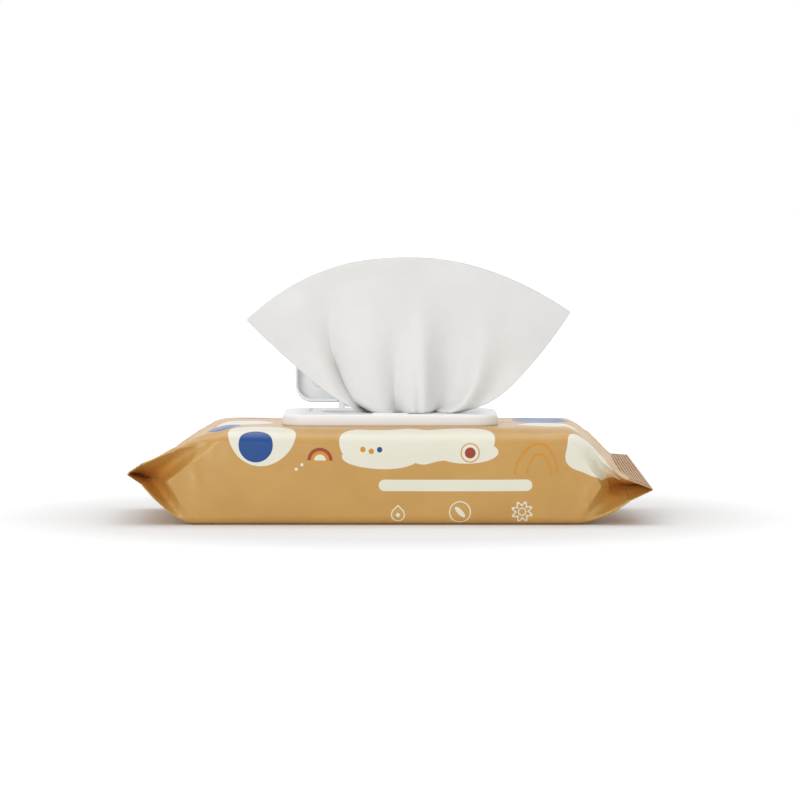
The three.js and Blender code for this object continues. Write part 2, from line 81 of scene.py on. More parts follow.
def cad_mm(node):
    """A node's lowest and highest corners in millimetres."""
    low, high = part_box(node)
    return np.array(low) / MM, np.array(high) / MM


film_low, film_high = cad_mm("film_wrapper")
stack_low, stack_high = cad_mm("wipe_stack")
base_low, base_high = cad_mm("lid_base")
wipe_low = cad_mm("raised_wipe")[0]
hinge = frame["joints"][0]
print("film box in mm:", film_low.round(1), film_high.round(1))

# %% [markdown]
# The camera comes first. The pack was photographed from far away with a long lens, nearly level
# with the table. A distance of two metres and an elevation of three degrees give the same narrow
# strip of the pack's top. The lens follows from the scale at the front face, in pixels per mm.

# %% Camera
FRAME_PIXELS = 800
SENSOR = 36.0
PIXELS_PER_MM = 2.26
PACK_CENTRE_PIXEL = 390
GROUND_PIXEL = 525
CAMERA_DISTANCE = 2000.0
CAMERA_ELEVATION = math.radians(3.0)
FILM_SLACK = 2.6


def add(name, data):
    """Makes an object from its data and puts it into the scene."""
    obj = bpy.data.objects.new(name, data)
    bpy.context.scene.collection.objects.link(obj)
    return obj


half_depth = stack_high[1] + FILM_SLACK
aim = Vector((
    (FRAME_PIXELS / 2 - PACK_CENTRE_PIXEL) / PIXELS_PER_MM,
    -half_depth,
    (GROUND_PIXEL - FRAME_PIXELS / 2) / PIXELS_PER_MM,
))
back = Vector((0, -math.cos(CAMERA_ELEVATION), math.sin(CAMERA_ELEVATION)))
camera_data = bpy.data.cameras.new("camera")
camera_data.sensor_width = SENSOR
camera_data.lens = PIXELS_PER_MM * CAMERA_DISTANCE * SENSOR / FRAME_PIXELS
camera = add("camera", camera_data)
camera.location = (aim + back * CAMERA_DISTANCE) * MM
camera.rotation_euler = (math.pi / 2 - CAMERA_ELEVATION, 0, 0)
bpy.context.scene.camera = camera
print("lens in mm:", round(camera_data.lens, 1))

# %% [markdown]
# Two sums come back all through the lesson. Mixing goes from one value to another in even steps,
# and easing turns an even step into one that starts and stops gently, as film and cloth bend.

# %% Easing and mixing


def smooth(t):
    """An eased step: 0 up to t = 0, 1 from t = 1, and a soft S between them."""
    t = np.clip(t, 0, 1)
    return t * t * (3 - 2 * t)


def mix(a, b, t):
    return a + (b - a) * t


print("a quarter of the way, even and eased:", mix(0, 1, 0.25), round(float(smooth(0.25)), 3))

# %% [markdown]
# Most shapes here are lofts: rings of points, one after another, joined by four-sided faces. They
# could be extruded by hand, but in code every ring can have its own outline. The last ring can
# close onto the first, or both ends can be capped.

# %% Meshes from rings


def mesh_object(name, points_mm, faces, sharp_degrees=35):
    """A smooth-shaded object from points in mm. Edges sharper than the angle stay crisp."""
    mesh = bpy.data.meshes.new(name)
    mesh.from_pydata((np.asarray(points_mm).reshape(-1, 3) * MM).tolist(), [], faces)
    mesh.validate()
    mesh.shade_smooth()
    mesh.set_sharp_from_angle(angle=math.radians(sharp_degrees))
    return add(name, mesh)


def loft_faces(rings, ring_closed=True, rows_closed=False, capped=False):
    """Faces between neighbouring rings. Each ring has the same number of points."""
    rows, count = len(rings), len(rings[0])
    faces = []
    for row in range(rows if rows_closed else rows - 1):
        here = row * count
        there = ((row + 1) % rows) * count
        for k in range(count if ring_closed else count - 1):
            after = (k + 1) % count
            faces.append((here + k, here + after, there + after, there + k))
    if capped:
        faces.append(tuple(reversed(range(count))))
        faces.append(tuple(range((rows - 1) * count, rows * count)))
    return faces


def outward(obj, weld=False):
    """Turns the faces so that the normals point out. Can first join points that lie in one place."""
    shape = bmesh.new()
    shape.from_mesh(obj.data)
    if weld:
        bmesh.ops.remove_doubles(shape, verts=shape.verts, dist=1e-6)
    bmesh.ops.recalc_face_normals(shape, faces=shape.faces)
    shape.to_mesh(obj.data)
    shape.free()
    return obj


def settle(obj):
    """Applies an object's modifiers, so that its mesh is final."""
    graph = bpy.context.evaluated_depsgraph_get()
    baked = bpy.data.meshes.new_from_object(obj.evaluated_get(graph))
    obj.modifiers.clear()
    obj.data = baked
    return obj


def rounded_ring(half_x, half_y, corner, centre_y, z, steps=14):
    """One ring of a plate with rounded corners."""
    points = []
    for quarter in range(4):
        sign_x = 1 if quarter in (0, 3) else -1
        sign_y = 1 if quarter < 2 else -1
        for step in range(steps + 1):
            angle = (quarter + step / steps) * math.pi / 2
            points.append((
                sign_x * (half_x - corner) + corner * math.cos(angle),
                centre_y + sign_y * (half_y - corner) + corner * math.sin(angle),
                z,
            ))
    return points


print("points in the ring of a rounded plate:", len(rounded_ring(10, 5, 2, 0, 0)))

# %% [markdown]
# The pouch is one tube of laminate film. At each end its sides tuck in between the top and the
# bottom, and the layers are crimped flat. The two ends of a real pouch differ, and so do the front
# and the back of one end, so each end is a short list of sizes in mm. Pairs hold front and back.
#
# low and top say how far past the stack the bottom and the top start to bend, land how steeply the
# top comes down, and apex with apex_rise where the tuck starts. The seal has its length, its rise
# above the table, the drop of its tip, and the pull that keeps the tip short of the farthest reach.
# The layers gape beside the seal by up, down and tuck_drop. A larger roll keeps the edges round
# for longer on their way to the seal.

# %% Sizes of the pouch
STACK_END = stack_high[0]
PACK_HEIGHT = film_high[2]
FIN_REACH = film_high[0] - STACK_END
FIN_LAYERS = 0.75
TUCK_SLOT = 0.16
TUCK_DEPTH = PACK_HEIGHT / 2
CRIMP_PITCH, CRIMP_HEIGHT = 1.5, 0.36

LEFT_END = dict(
    low=9, apex=16.5, apex_rise=19,
    top=(-2, 1.5), land=(3, 5.6), roll=(1.7, 1.5),
    seal=(6.4, 9), rise=(22.9, 22.5), drop=(0.6, 2.2), pull=(0, 1.5),
    up=(3.8, 1.0), down=(4.9, 3.0), tuck_drop=(3.6, 2.0),
)
RIGHT_END = dict(
    low=4.5, apex=11.5, apex_rise=17,
    top=(5.5, 5), land=(1, 7.5), roll=(1.9, 1.5),
    seal=(10.4, 8), rise=(17.2, 24.5), drop=(1.7, 0), pull=(0, 6.5),
    up=(2.4, 0.5), down=(6.6, 2.5), tuck_drop=(3.0, 1.5),
)


def seal_at(end, y):
    """The end seal is a straight strip, so at any depth it is a mix of its front and back."""
    share = (y + half_depth) / (2 * half_depth)
    return {key: mix(*pair, share) for key, pair in end.items() if isinstance(pair, tuple)}


def ridge_count(way):
    """How many crimp ridges fit on the left (-1) or the right (1) seal."""
    return round((LEFT_END if way < 0 else RIGHT_END)["seal"][0] / CRIMP_PITCH)


print("ridges on the left and the right seal:", ridge_count(-1), ridge_count(1))

# %% [markdown]
# A row of the pouch's mesh follows the film from fold line to fold line: top edge, tuck, bottom
# edge, and the same at the back. Seen from the front, the top comes down to the seal in an S and
# the bottom rises in a plain bend. Both are Bezier curves, which need only three or four knots.

# %% Fold lines of the ends
TOP_LEAD, LOW_LEAD, LANDING = 10.0, 4.0, 9.0
FOLD_RATE = 1.6


def bezier(knots, t):
    """A point on the smooth curve that is drawn by its knots, found by mixing them pair by pair."""
    knots = np.asarray(knots, float)
    while len(knots) > 1:
        knots = mix(knots[:-1], knots[1:], t)
    return knots[0]


def fold_lines(way, side, t):
    """Top edge, bottom edge and tuck at t, from the body's crease (0) to the seal (1)."""
    end = LEFT_END if way < 0 else RIGHT_END
    edge = seal_at(end, side * half_depth)
    seal_start = FIN_REACH - edge["seal"] - edge["pull"]
    top_end = edge["rise"] + FIN_LAYERS / 2 + edge["up"]
    low_end = edge["rise"] - FIN_LAYERS / 2 - edge["down"]
    top_x, top_z = bezier((
        (edge["top"] - TOP_LEAD, PACK_HEIGHT), (edge["top"], PACK_HEIGHT),
        (seal_start - LANDING, top_end + edge["land"]), (seal_start, top_end),
    ), t)
    low_x, low_z = bezier((
        (end["low"] - LOW_LEAD, 0), (end["low"] + LOW_LEAD, 0), (seal_start, low_end),
    ), t)
    tuck_y = side * (half_depth - TUCK_DEPTH * math.sin(t * math.pi / 2))
    root = seal_at(end, tuck_y)
    tuck_x = mix(end["apex"], FIN_REACH - root["seal"] - root["pull"], t)
    tuck_z = mix(end["apex_rise"], root["rise"] - root["tuck_drop"], t)
    return dict(
        top=np.array((way * (STACK_END + top_x), side * half_depth, top_z)),
        low=np.array((way * (STACK_END + low_x), side * half_depth, low_z)),
        tuck=np.array((way * (STACK_END + tuck_x), tuck_y, tuck_z)),
        sharp=smooth(t * 2 / edge["roll"]), folded=smooth(t * FOLD_RATE),
        up=edge["up"] * t * t, down=edge["down"] * t * t,
    )


print("front top edge at the right seal in mm:", fold_lines(1, -1, 1)["top"].round(1))

# %% [markdown]
# Between the ends the body is straight, so its lines are a mix of the left and the right crease.
# Across a seal the layers come together: they still gape at its inner edge and are shut at its tip.
# Giving both in the same form as the ends lets one function turn any of them into a row.

# %% Lines along the body and across a seal


def body_lines(side, t):
    """The lines along the straight body, from the left crease (0) to the right one (1)."""
    left, right = fold_lines(-1, side, 0), fold_lines(1, side, 0)
    lines = {key: mix(left[key], right[key], t) for key in ("top", "low", "tuck")}
    return dict(lines, sharp=0, folded=0, up=0, down=0)


def seal_lines(way, side, t):
    """The lines across a seal. The layers that gape close towards its tip."""
    end = LEFT_END if way < 0 else RIGHT_END
    lines = fold_lines(way, side, 1)
    closing = smooth(t) if side > 0 else t
    tuck_drop = seal_at(end, lines["tuck"][1])["tuck_drop"]
    for key, close in (("top", -lines["up"]), ("low", lines["down"]), ("tuck", tuck_drop)):
        strip = seal_at(end, lines[key][1])
        lines[key] = lines[key] + (way * strip["seal"] * t, 0, close * closing - strip["drop"] * t)
    lines["up"] *= 1 - closing
    lines["down"] *= 1 - closing
    return lines


print("front top edge at the right tip in mm:", seal_lines(1, -1, 1)["top"].round(1))

# %% [markdown]
# The edge where the flat top turns into the side is wide and soft on the full body, and shrinks to
# a sharp fold at the seal. A bevel of one width can't follow that, so each row draws its own
# rounded corner as a cubic curve, with a radius that follows the fold's sharpness.

# %% Rounded edges and tucked sides
EDGE_STEPS, SIDE_STEPS = 10, 14
FILM_LAYER = 0.14
TOP_SHOULDER, LOW_SHOULDER, FOLD_SHOULDER = 9.0, 4.0, 0.5
ROUNDNESS, TOP_SPREAD, LONGEST_REACH = 0.45, 1.75, 0.45


def edge_curve(corner, inward, target, radius, fold, spread=1.0):
    """The rounded edge where a flat panel turns into the side: a cubic curve."""
    length = np.linalg.norm(target - corner)
    reach = min(radius, length * LONGEST_REACH)
    under = corner - np.array((0, 0, fold))
    across_panel = np.array((0, inward * reach * spread, 0))
    knots = (
        corner + across_panel,
        corner + across_panel * ROUNDNESS,
        mix(under, target, reach * ROUNDNESS / length),
        mix(under, target, reach / length),
    )
    t = np.linspace(0, 1, EDGE_STEPS + 1)[:, None]
    return ((1 - t) ** 3 * knots[0] + 3 * t * (1 - t) ** 2 * knots[1]
            + 3 * t * t * (1 - t) * knots[2] + t ** 3 * knots[3])


def run(start, stop, steps):
    """The points between two ends, without the ends."""
    t = np.linspace(0, 1, steps + 1)[1:-1, None]
    return start + (stop - start) * t


def side_points(lines, side):
    """From the top panel's edge round the tuck to the bottom panel's edge."""
    slot = np.array((0, 0, TUCK_SLOT / 2))
    tuck_up, tuck_down = lines["tuck"] + slot, lines["tuck"] - slot
    fold = 2 * FILM_LAYER * lines["folded"]
    top_radius = mix(TOP_SHOULDER, FOLD_SHOULDER, lines["sharp"])
    low_radius = mix(LOW_SHOULDER, FOLD_SHOULDER, lines["sharp"])
    top = edge_curve(lines["top"], -side, tuck_up, top_radius, fold, TOP_SPREAD)
    low = edge_curve(lines["low"], -side, tuck_down, low_radius, -fold)[::-1]
    return np.vstack((
        top, run(top[-1], tuck_up, SIDE_STEPS), tuck_up, tuck_down,
        run(tuck_down, low[0], SIDE_STEPS), low,
    ))


side_count = len(side_points(body_lines(-1, 0.5), -1))
print("points on one side of a row:", side_count)

# %% [markdown]
# A whole row is the front side, the panel under the pack, the rear side and the panel on top. Near
# the seals the layers gape at the folded edges. A straight panel would carry that to its middle, so
# it is let down sooner. The rows are closest together across the seals: each ridge has eight.

# %% The rows of the film
TOP_STEPS, LOW_STEPS = 44, 14
BODY_STEPS, END_STEPS, RIDGE_STEPS = 90, 30, 8
SETTLE_RATE = 2.2


def panel(start, stop, steps, front_gape, rear_gape):
    """A panel between its two edges. What gapes at an edge has settled well before the middle."""
    points = run(start, stop, steps)
    share = (points[:, 1] - min(start[1], stop[1])) / abs(stop[1] - start[1])
    settle_front = 1 - smooth(share * SETTLE_RATE)
    settle_rear = 1 - smooth((1 - share) * SETTLE_RATE)
    points[:, 2] += front_gape * (settle_front - (1 - share)) + rear_gape * (settle_rear - share)
    return points


def film_ring(lines_at):
    """One closed row: front side, bottom panel, rear side and top panel."""
    front_lines, rear_lines = lines_at(-1), lines_at(1)
    front, rear = side_points(front_lines, -1), side_points(rear_lines, 1)[::-1]
    under = panel(front[-1], rear[0], LOW_STEPS, -front_lines["down"], -rear_lines["down"])
    over = panel(rear[-1], front[0], TOP_STEPS, front_lines["up"], rear_lines["up"])
    return np.vstack((front, under, rear, over))


left_rows, right_rows = ridge_count(-1) * RIDGE_STEPS, ridge_count(1) * RIDGE_STEPS
stations = [partial(seal_lines, -1, t=1 - step / left_rows) for step in range(left_rows + 1)]
stations += [partial(fold_lines, -1, t=1 - step / END_STEPS) for step in range(1, END_STEPS + 1)]
stations += [partial(body_lines, t=step / BODY_STEPS) for step in range(1, BODY_STEPS)]
stations += [partial(fold_lines, 1, t=step / END_STEPS) for step in range(END_STEPS)]
stations += [partial(seal_lines, 1, t=step / right_rows) for step in range(right_rows + 1)]
film = np.array([film_ring(lines_at) for lines_at in stations])
print("film rows and points in a row:", film.shape[:2])

# %% [markdown]
# Film is printed flat, so the print needs flat coordinates: how far along the film a point lies,
# and how far round it. Both are measured along the folded mesh, so the print runs into the tucks
# and over the edges. Round the film, zero is the top edge of the front, and the top is below zero.

# %% Flat film coordinates
PLAIN = 300

middle = film.shape[0] // 2
steps_along = np.linalg.norm(np.diff(film, axis=0), axis=2)
along = np.zeros(film.shape[:2])
along[middle] = film[middle, :, 0]
along[middle + 1:] = along[middle] + np.cumsum(steps_along[middle:], axis=0)
along[:middle] = along[middle] - np.cumsum(steps_along[:middle][::-1], axis=0)[::-1]

ring_points = film.shape[1]
over_start = ring_points - (TOP_STEPS - 1)
seam = side_count + (LOW_STEPS - 1) // 2
steps_round = np.linalg.norm(np.diff(film[..., 1:], axis=1), axis=2)
measured = np.concatenate((np.zeros((film.shape[0], 1)), np.cumsum(steps_round, axis=1)), axis=1)
round_film = measured - film[:, :1, 1] - half_depth
round_film[:, over_start:] = -(film[:, over_start:, 1] + half_depth)
to_top = measured[:, over_start:over_start + 1] - measured[:, seam:over_start]
round_film[:, seam:over_start] = round_film[:, over_start:over_start + 1] - to_top
# the print's two ends meet under the pack, at a place along the film where nothing is printed
along[:, side_count + 1:over_start - side_count - 1] += PLAIN
print("film round, from and to in mm:", round_film.min().round(1), round_film.max().round(1))

# %% [markdown]
# The jaws that seal a pouch press fine ridges into it, about a millimetre and a half apart. They
# are waves in the mesh, because a bump in the material would leave the seal's outline straight.
# They fade out at the folded corners, and the layers tucked inside stay plain.

# %% Crimp ridges
across_seal = np.zeros(film.shape[:2])
across_seal[:left_rows] = np.arange(left_rows, 0, -1)[:, None] / RIDGE_STEPS
across_seal[-right_rows:] = np.arange(1, right_rows + 1)[:, None] / RIDGE_STEPS
on_side = np.zeros(ring_points, bool)
on_side[:side_count] = True
on_side[over_start - side_count:over_start] = True
from_corner = half_depth - np.abs(film[..., 1])
ridges = CRIMP_HEIGHT * (0.5 - 0.5 * np.cos(2 * np.pi * across_seal)) * smooth(from_corner / 2)
ridges[:, side_count:over_start - side_count] *= -1
film[..., 2] += np.where(on_side, 0, ridges)
print("highest ridge in mm:", ridges.max().round(2))

# %% [markdown]
# Film that is tucked and sealed is never quite flat. Small movements along the normal bring it to
# life. For them each point needs its normal, here from the ways to its neighbours, and a smooth
# noise. The noise has a size in mm, and a seed that picks one pattern and keeps it the same.

# %% Normals and noise
row_way = np.gradient(film, axis=0)
ring_way = np.roll(film, -1, axis=1) - np.roll(film, 1, axis=1)
normals = np.cross(ring_way, row_way)
normals /= np.maximum(np.linalg.norm(normals, axis=2, keepdims=True), 1e-9)
if normals[middle, -TOP_STEPS // 2, 2] < 0:
    normals = -normals


def wander(points, size, seed):
    """Smooth noise from -1 to 1 at each point."""
    flat = points.reshape(-1, 3) / size
    values = [noise.noise(Vector(p) + Vector((seed, 2 * seed, 3 * seed))) for p in flat]
    return np.array(values).reshape(points.shape[:2])


print("normal in the middle of the top:", normals[middle, -TOP_STEPS // 2].round(2))

# %% [markdown]
# Four movements are added up: broad, shallow swells on the panels, puckers that run into each seal,
# creases that fan out from the corner where a side tucks in, and the belly of the full sides. The
# film stays flat on the table and under the lid, where the adhesive holds it.

# %% Swells, puckers and creases
BROAD_SWELL, FINE_SWELL, PUCKER, CREASE, SIDE_BULGE = 0.5, 0.22, 0.34, 0.55, 1.0
ENDS_FROM, TUCK_PLACE, TUCK_ROOM, BELLY_TO = 84, 92, 24, 96
LID_ROOM, LID_HALF_DEPTH = 3, 34

x, y, z = film[..., 0], film[..., 1], film[..., 2]
off_lid = smooth((np.abs(x) - base_high[0] - LID_ROOM) / 14)
off_lid = np.where(np.abs(y) < LID_HALF_DEPTH, off_lid, 1)
off_lid = np.where(z > PACK_HEIGHT - 2, off_lid, 1)
off_floor = smooth((z - 1.5) / 6)
off_seal = across_seal <= 0

swell = BROAD_SWELL * wander(film, 34, 1.3) + FINE_SWELL * wander(film, 13, 4.1)
to_seal = smooth((np.abs(x) - ENDS_FROM) / 20)
streaks = np.stack((x * 0.12, y * 1.5, z * 0.25), axis=2)
pucker = PUCKER * wander(streaks, 6.5, 7.7) * to_seal * np.where(on_side, 0.5, 1)
near_tuck = smooth(1 - np.abs(np.abs(x) - TUCK_PLACE) / 20) * (np.abs(y) > half_depth - TUCK_ROOM)
fold_noise = wander(film * np.array((1, 1, 0.7)), 15, 9.2)
crease = CREASE * (1 - smooth(np.abs(fold_noise) / 0.17)) * near_tuck
fullness = np.sin(np.pi * np.clip(z / PACK_HEIGHT, 0, 1)) * smooth((BELLY_TO - np.abs(x)) / 40)
belly = SIDE_BULGE * fullness * on_side
loose = swell * (1 - to_seal * 0.4) + pucker + crease
moved = loose * off_lid * off_floor * off_seal + belly
film += normals * moved[..., None]
film[..., 2] = np.maximum(film[..., 2], 0)
print("largest swell in mm:", np.abs(swell).max().round(2))

# %% [markdown]
# The rows become one mesh, and a mouth is cut out of it under the lid, where a real pouch is
# punched. The lid hides the edge, so the faces there are simply deleted. The flat coordinates go
# along as an attribute of each point. Its third value counts the ridges on the outside of a seal,
# and is below zero inside a tuck.

# %% The pouch mesh
MOUTH_HALF_X, MOUTH_HALF_Y = 31.5 * MM, 13.5 * MM

pouch = outward(mesh_object("pouch_film", film, loft_faces(film, capped=True), 50))
shape = bmesh.new()
shape.from_mesh(pouch.data)


def in_mouth(point):
    """True inside the mouth: a straight middle with a half round at each end."""
    past_straight = max(abs(point.x) - (MOUTH_HALF_X - MOUTH_HALF_Y), 0)
    return math.hypot(past_straight, point.y) < MOUTH_HALF_Y and point.z > 0.5 * PACK_HEIGHT * MM


over_mouth = [face for face in shape.faces if in_mouth(face.calc_center_median())]
bmesh.ops.delete(shape, geom=over_mouth, context="FACES_ONLY")
shape.to_mesh(pouch.data)
shape.free()
printed = pouch.data.attributes.new("film_place", "FLOAT_VECTOR", "POINT")
# the mask of the painted light inside the tucks, where the film folds in at the ends
painted_tuck_light = smooth((half_depth - 1 - np.abs(y)) / 12) * smooth((np.abs(x) - ENDS_FROM) / 10) * on_side
place = np.stack((along, round_film, np.where(on_side, -painted_tuck_light, across_seal)), axis=2)
printed.data.foreach_set("vector", place.reshape(-1).astype(np.float32))
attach(pouch, "pack")
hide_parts("film_wrapper")
print("pouch faces:", len(pouch.data.polygons))

# %% [markdown]
# Through the lid's opening the stack shows. It is sixty folded wipes, and a real stack is never
# cut and piled quite true: every layer is a ring of its own, with soft edges and a small offset.
# Forty layers are enough at this size, and the seed makes the offsets the same on every run.

# %% The stack of wipes
LAYERS, LAYER_SOFT, LAYER_OFFSET, LAYER_CORNER = 40, 0.3, 0.35, 3

stack_half = (stack_high - stack_low) / 2
layer_height = 2 * stack_half[2] / LAYERS
offsets = np.random.default_rng(4).uniform(-LAYER_OFFSET, 0, (LAYERS, 2))
rings = []
for layer in range(LAYERS):
    for share, inset in ((0, LAYER_SOFT), (0.3, 0), (0.7, 0), (1, LAYER_SOFT)):
        half_x, half_y = stack_half[:2] + offsets[layer] - inset
        height = stack_low[2] + (layer + share) * layer_height
        rings.append(rounded_ring(half_x, half_y, LAYER_CORNER - inset, 0, height, 6))
stack = outward(mesh_object("stack_of_wipes", rings, loft_faces(rings, capped=True), 80))
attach(stack, "pack")
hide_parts("wipe_stack")
print("stack faces:", len(stack.data.polygons))

# %% [markdown]
# The lid is two mouldings, each a loft of rounded rectangles. Four outlines serve both: the plate,
# the orifice, the sealing rim and the flap. A section is a list of rings, each an outline drawn in
# by an inset, at a height. Small arcs round the edges, because a moulded edge catches the light.

# %% Outlines and sections of the lid
DECK = base_low[2] + 4.7
HINGE_Y, HINGE_Z = hinge["pos_m"][1] / MM, hinge["pos_m"][2] / MM
FLAP_HALF_DEPTH = 26.0
FLAP_MIDDLE = HINGE_Y - 0.8 - FLAP_HALF_DEPTH
# half length and half depth, corner radius, and the middle's y
PLATE = ((48.65, 31.0), 12.0, 0)
ORIFICE = ((31.0, 13.0), 13, 0)
RIM = ((36.6, 18.8), 4.4, FLAP_MIDDLE)
FLAP = ((43.8, FLAP_HALF_DEPTH), 8.0, FLAP_MIDDLE)
SMALLEST_CORNER = 0.3


def ledge(outline, *places):
    """Rings of an outline at pairs of inset and height."""
    half, corner, centre_y = outline
    return [
        (half[0] - inset, half[1] - inset, corner - inset, centre_y, height)
        for inset, height in places
    ]


def arc(outline, inset, height, radius, start, stop, steps=6):
    """Rings along a quarter round. The inset and the height are those of its centre."""
    turns = [math.radians(mix(start, stop, step / steps)) for step in range(steps + 1)]
    return ledge(outline, *(
        (inset - radius * math.cos(turn), height + radius * math.sin(turn)) for turn in turns
    ))


def section_rings(section):
    """The points of each ring of a section."""
    return [
        rounded_ring(half_x, half_y, max(corner, SMALLEST_CORNER), centre_y, height)
        for half_x, half_y, corner, centre_y, height in section
    ]


print("deck and hinge heights in mm:", round(DECK, 1), round(HINGE_Z, 1))

# %% [markdown]
# The base's section runs once round: up inside the orifice, over its lip, across the deck with the
# groove that takes the flap's rim, over the rounded edge, and back along the hollow underside.

# %% The lid base
EDGE = 1.5
LIP = 0.7
GROOVE = 0.8
SKIN = 1.8
base_bottom = base_low[2]

rings = section_rings([
    *ledge(ORIFICE, (0, base_bottom)),
    *arc(ORIFICE, -LIP, DECK - LIP, LIP, 180, 90),
    *ledge(RIM, (1.6, DECK), (1.5, DECK - 0.15), (1.45, DECK - GROOVE)),
    *ledge(RIM, (-0.25, DECK - GROOVE), (-0.3, DECK - 0.15), (-0.45, DECK)),
    *arc(PLATE, EDGE + 0.25, DECK - EDGE, EDGE, 90, 0),
    *ledge(PLATE, (0, base_bottom + 0.5), (0.2, base_bottom), (1.4, base_bottom), (1.6, DECK - SKIN)),
    *ledge(ORIFICE, (-1.4, DECK - SKIN), (-1.4, base_bottom)),
])
lid_base = mesh_object("lid_base_moulding", rings, loft_faces(rings, rows_closed=True), 40)
outward(lid_base, weld=True)
print("lid base rings:", len(rings))

# %% [markdown]
# Small parts of the mouldings are bars and boxes with softened edges: the hinge lugs, their feet
# and the ridge that the flap's tab snaps over. On the real lid they are one piece with the plate,
# so they are joined to it here. Where they sink into it, no edge shows.

# %% Bars, boxes and the hinge lugs
LUG_CENTRE, LUG_WIDTH, LUG_RADIUS = 22.35, 3.1, 1.9
CATCH_Y, CATCH_HALF, CATCH_RADIUS = -28.8, 8, 0.8


def round_bar(name, from_x, to_x, y, z, radius, soft=0.35, sides=32):
    """A bar along X with softened ends."""
    nearly = soft * 0.3
    stops = [
        (from_x, radius - soft), (from_x + nearly, radius - nearly), (from_x + soft, radius),
        (to_x - soft, radius), (to_x - nearly, radius - nearly), (to_x, radius - soft),
    ]
    turns = [2 * math.pi * k / sides for k in range(sides)]
    rings = [[(at, y + size * math.cos(turn), z + size * math.sin(turn)) for turn in turns]
             for at, size in stops]
    return outward(mesh_object(name, rings, loft_faces(rings, capped=True)))


def soft_box(name, low, high, radius, segments=3):
    """A box with rounded edges."""
    corners = [(x, y, z) for x in (low[0], high[0]) for y in (low[1], high[1]) for z in (low[2], high[2])]
    faces = [(0, 1, 3, 2), (4, 6, 7, 5), (0, 4, 5, 1), (2, 3, 7, 6), (0, 2, 6, 4), (1, 5, 7, 3)]
    obj = outward(mesh_object(name, corners, faces, 60))
    bevel = obj.modifiers.new("edge", "BEVEL")
    bevel.width = radius * MM
    bevel.segments = segments
    return settle(obj)


def joined(name, parts):
    """Several meshes as one object."""
    with bpy.context.temp_override(active_object=parts[0], selected_editable_objects=parts):
        bpy.ops.object.join()
    parts[0].name = name
    return parts[0]


lugs = []
for side in (-1, 1):
    low_x = side * LUG_CENTRE - LUG_WIDTH / 2
    high_x = low_x + LUG_WIDTH
    lugs.append(round_bar("lug", low_x, high_x, HINGE_Y, HINGE_Z, LUG_RADIUS))
    foot = (low_x, HINGE_Y - LUG_RADIUS, DECK - 1), (high_x, HINGE_Y + 1.3, HINGE_Z)
    lugs.append(soft_box("lug_foot", *foot, 0.3))
catch_ridge = round_bar("catch_ridge", -CATCH_HALF, CATCH_HALF, CATCH_Y, DECK, CATCH_RADIUS)
lid_base = joined("lid_base_moulding", [lid_base, catch_ridge, *lugs])
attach(lid_base, "pack")
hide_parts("lid_base")
print("lid base faces:", len(lid_base.data.polygons))

# %% [markdown]
# The flap is drawn shut. Its section goes from the middle of the outside over the rounded edge,
# down the wall, up inside it, and down and up again round the sealing rim. A ring that shrinks to a
# small outline closes each side. Two notches are then cut out of its rear wall for the hinge lugs.

# %% The flap
FLAP_BOTTOM = DECK + 0.3
FLAP_TOP = FLAP_BOTTOM + 6
FLAP_EDGE, WALL_EDGE = 1.6, 0.3
WALL = 1.2
RIM_SOFT = 0.4
roof = FLAP_TOP - WALL
rim_low = DECK - 0.5


def cut_away(obj, cutter):
    """Cuts one mesh out of another and removes the cutter."""
    cut = obj.modifiers.new("cut", "BOOLEAN")
    cut.object = cutter
    cut.solver = "EXACT"
    settle(obj)
    bpy.data.objects.remove(cutter)


rings = section_rings([
    *ledge(FLAP, (20, FLAP_TOP), (9, FLAP_TOP)),
    *arc(FLAP, FLAP_EDGE, FLAP_TOP - FLAP_EDGE, FLAP_EDGE, 90, 0),
    *arc(FLAP, WALL_EDGE, FLAP_BOTTOM + WALL_EDGE, WALL_EDGE, 0, -90, 3),
    *arc(FLAP, WALL - WALL_EDGE, FLAP_BOTTOM + WALL_EDGE, WALL_EDGE, -90, -180, 3),
    *ledge(FLAP, (WALL + 0.1, roof - 0.6), (WALL + 0.3, roof - 0.15), (WALL + 0.9, roof)),
    *ledge(RIM, (-0.5, roof), (-0.05, roof - 0.4)),
    *arc(RIM, RIM_SOFT, rim_low + RIM_SOFT, RIM_SOFT, 0, -90, 4),
    *arc(RIM, 2 * RIM_SOFT, rim_low + RIM_SOFT, RIM_SOFT, -90, -180, 4),
    *ledge(RIM, (1.25, roof - 0.4), (1.7, roof), (12, roof)),
])
flap = mesh_object("lid_flap_moulding", rings, loft_faces(rings, capped=True), 40)
outward(flap, weld=True)
for side in (-1, 1):
    centre = side * LUG_CENTRE
    notch_low = (centre - 1.9, HINGE_Y - 2.2, FLAP_BOTTOM - 1)
    cut_away(flap, soft_box("notch", notch_low, (centre + 1.9, HINGE_Y + 1, HINGE_Z + 2.2), 0.2))
flap.data.shade_smooth()
flap.data.set_sharp_from_angle(angle=math.radians(40))
print("flap rings:", len(rings))

# %% [markdown]
# A barrel and a pin turn between the lugs, and a thin tab at the front is for the thumb. All of it
# is one moulding with the flap. The shut flap is then swung open about the hinge, as the real one
# is, so that it shuts exactly where it was drawn.

# %% Hinge barrel, tab and opening
OPEN_ANGLE = math.radians(-100)
BARREL_RADIUS, PIN_RADIUS = 1.6, 0.9
BARREL_END = LUG_CENTRE - LUG_WIDTH / 2 - 0.3
PIN_END = LUG_CENTRE + 1.5
TAB_HALF, TAB_CORNER, TAB_THICK, TAB_SOFT = (8.0, 4.2), 2, 1.3, 0.3
flap_front = FLAP_MIDDLE - FLAP_HALF_DEPTH

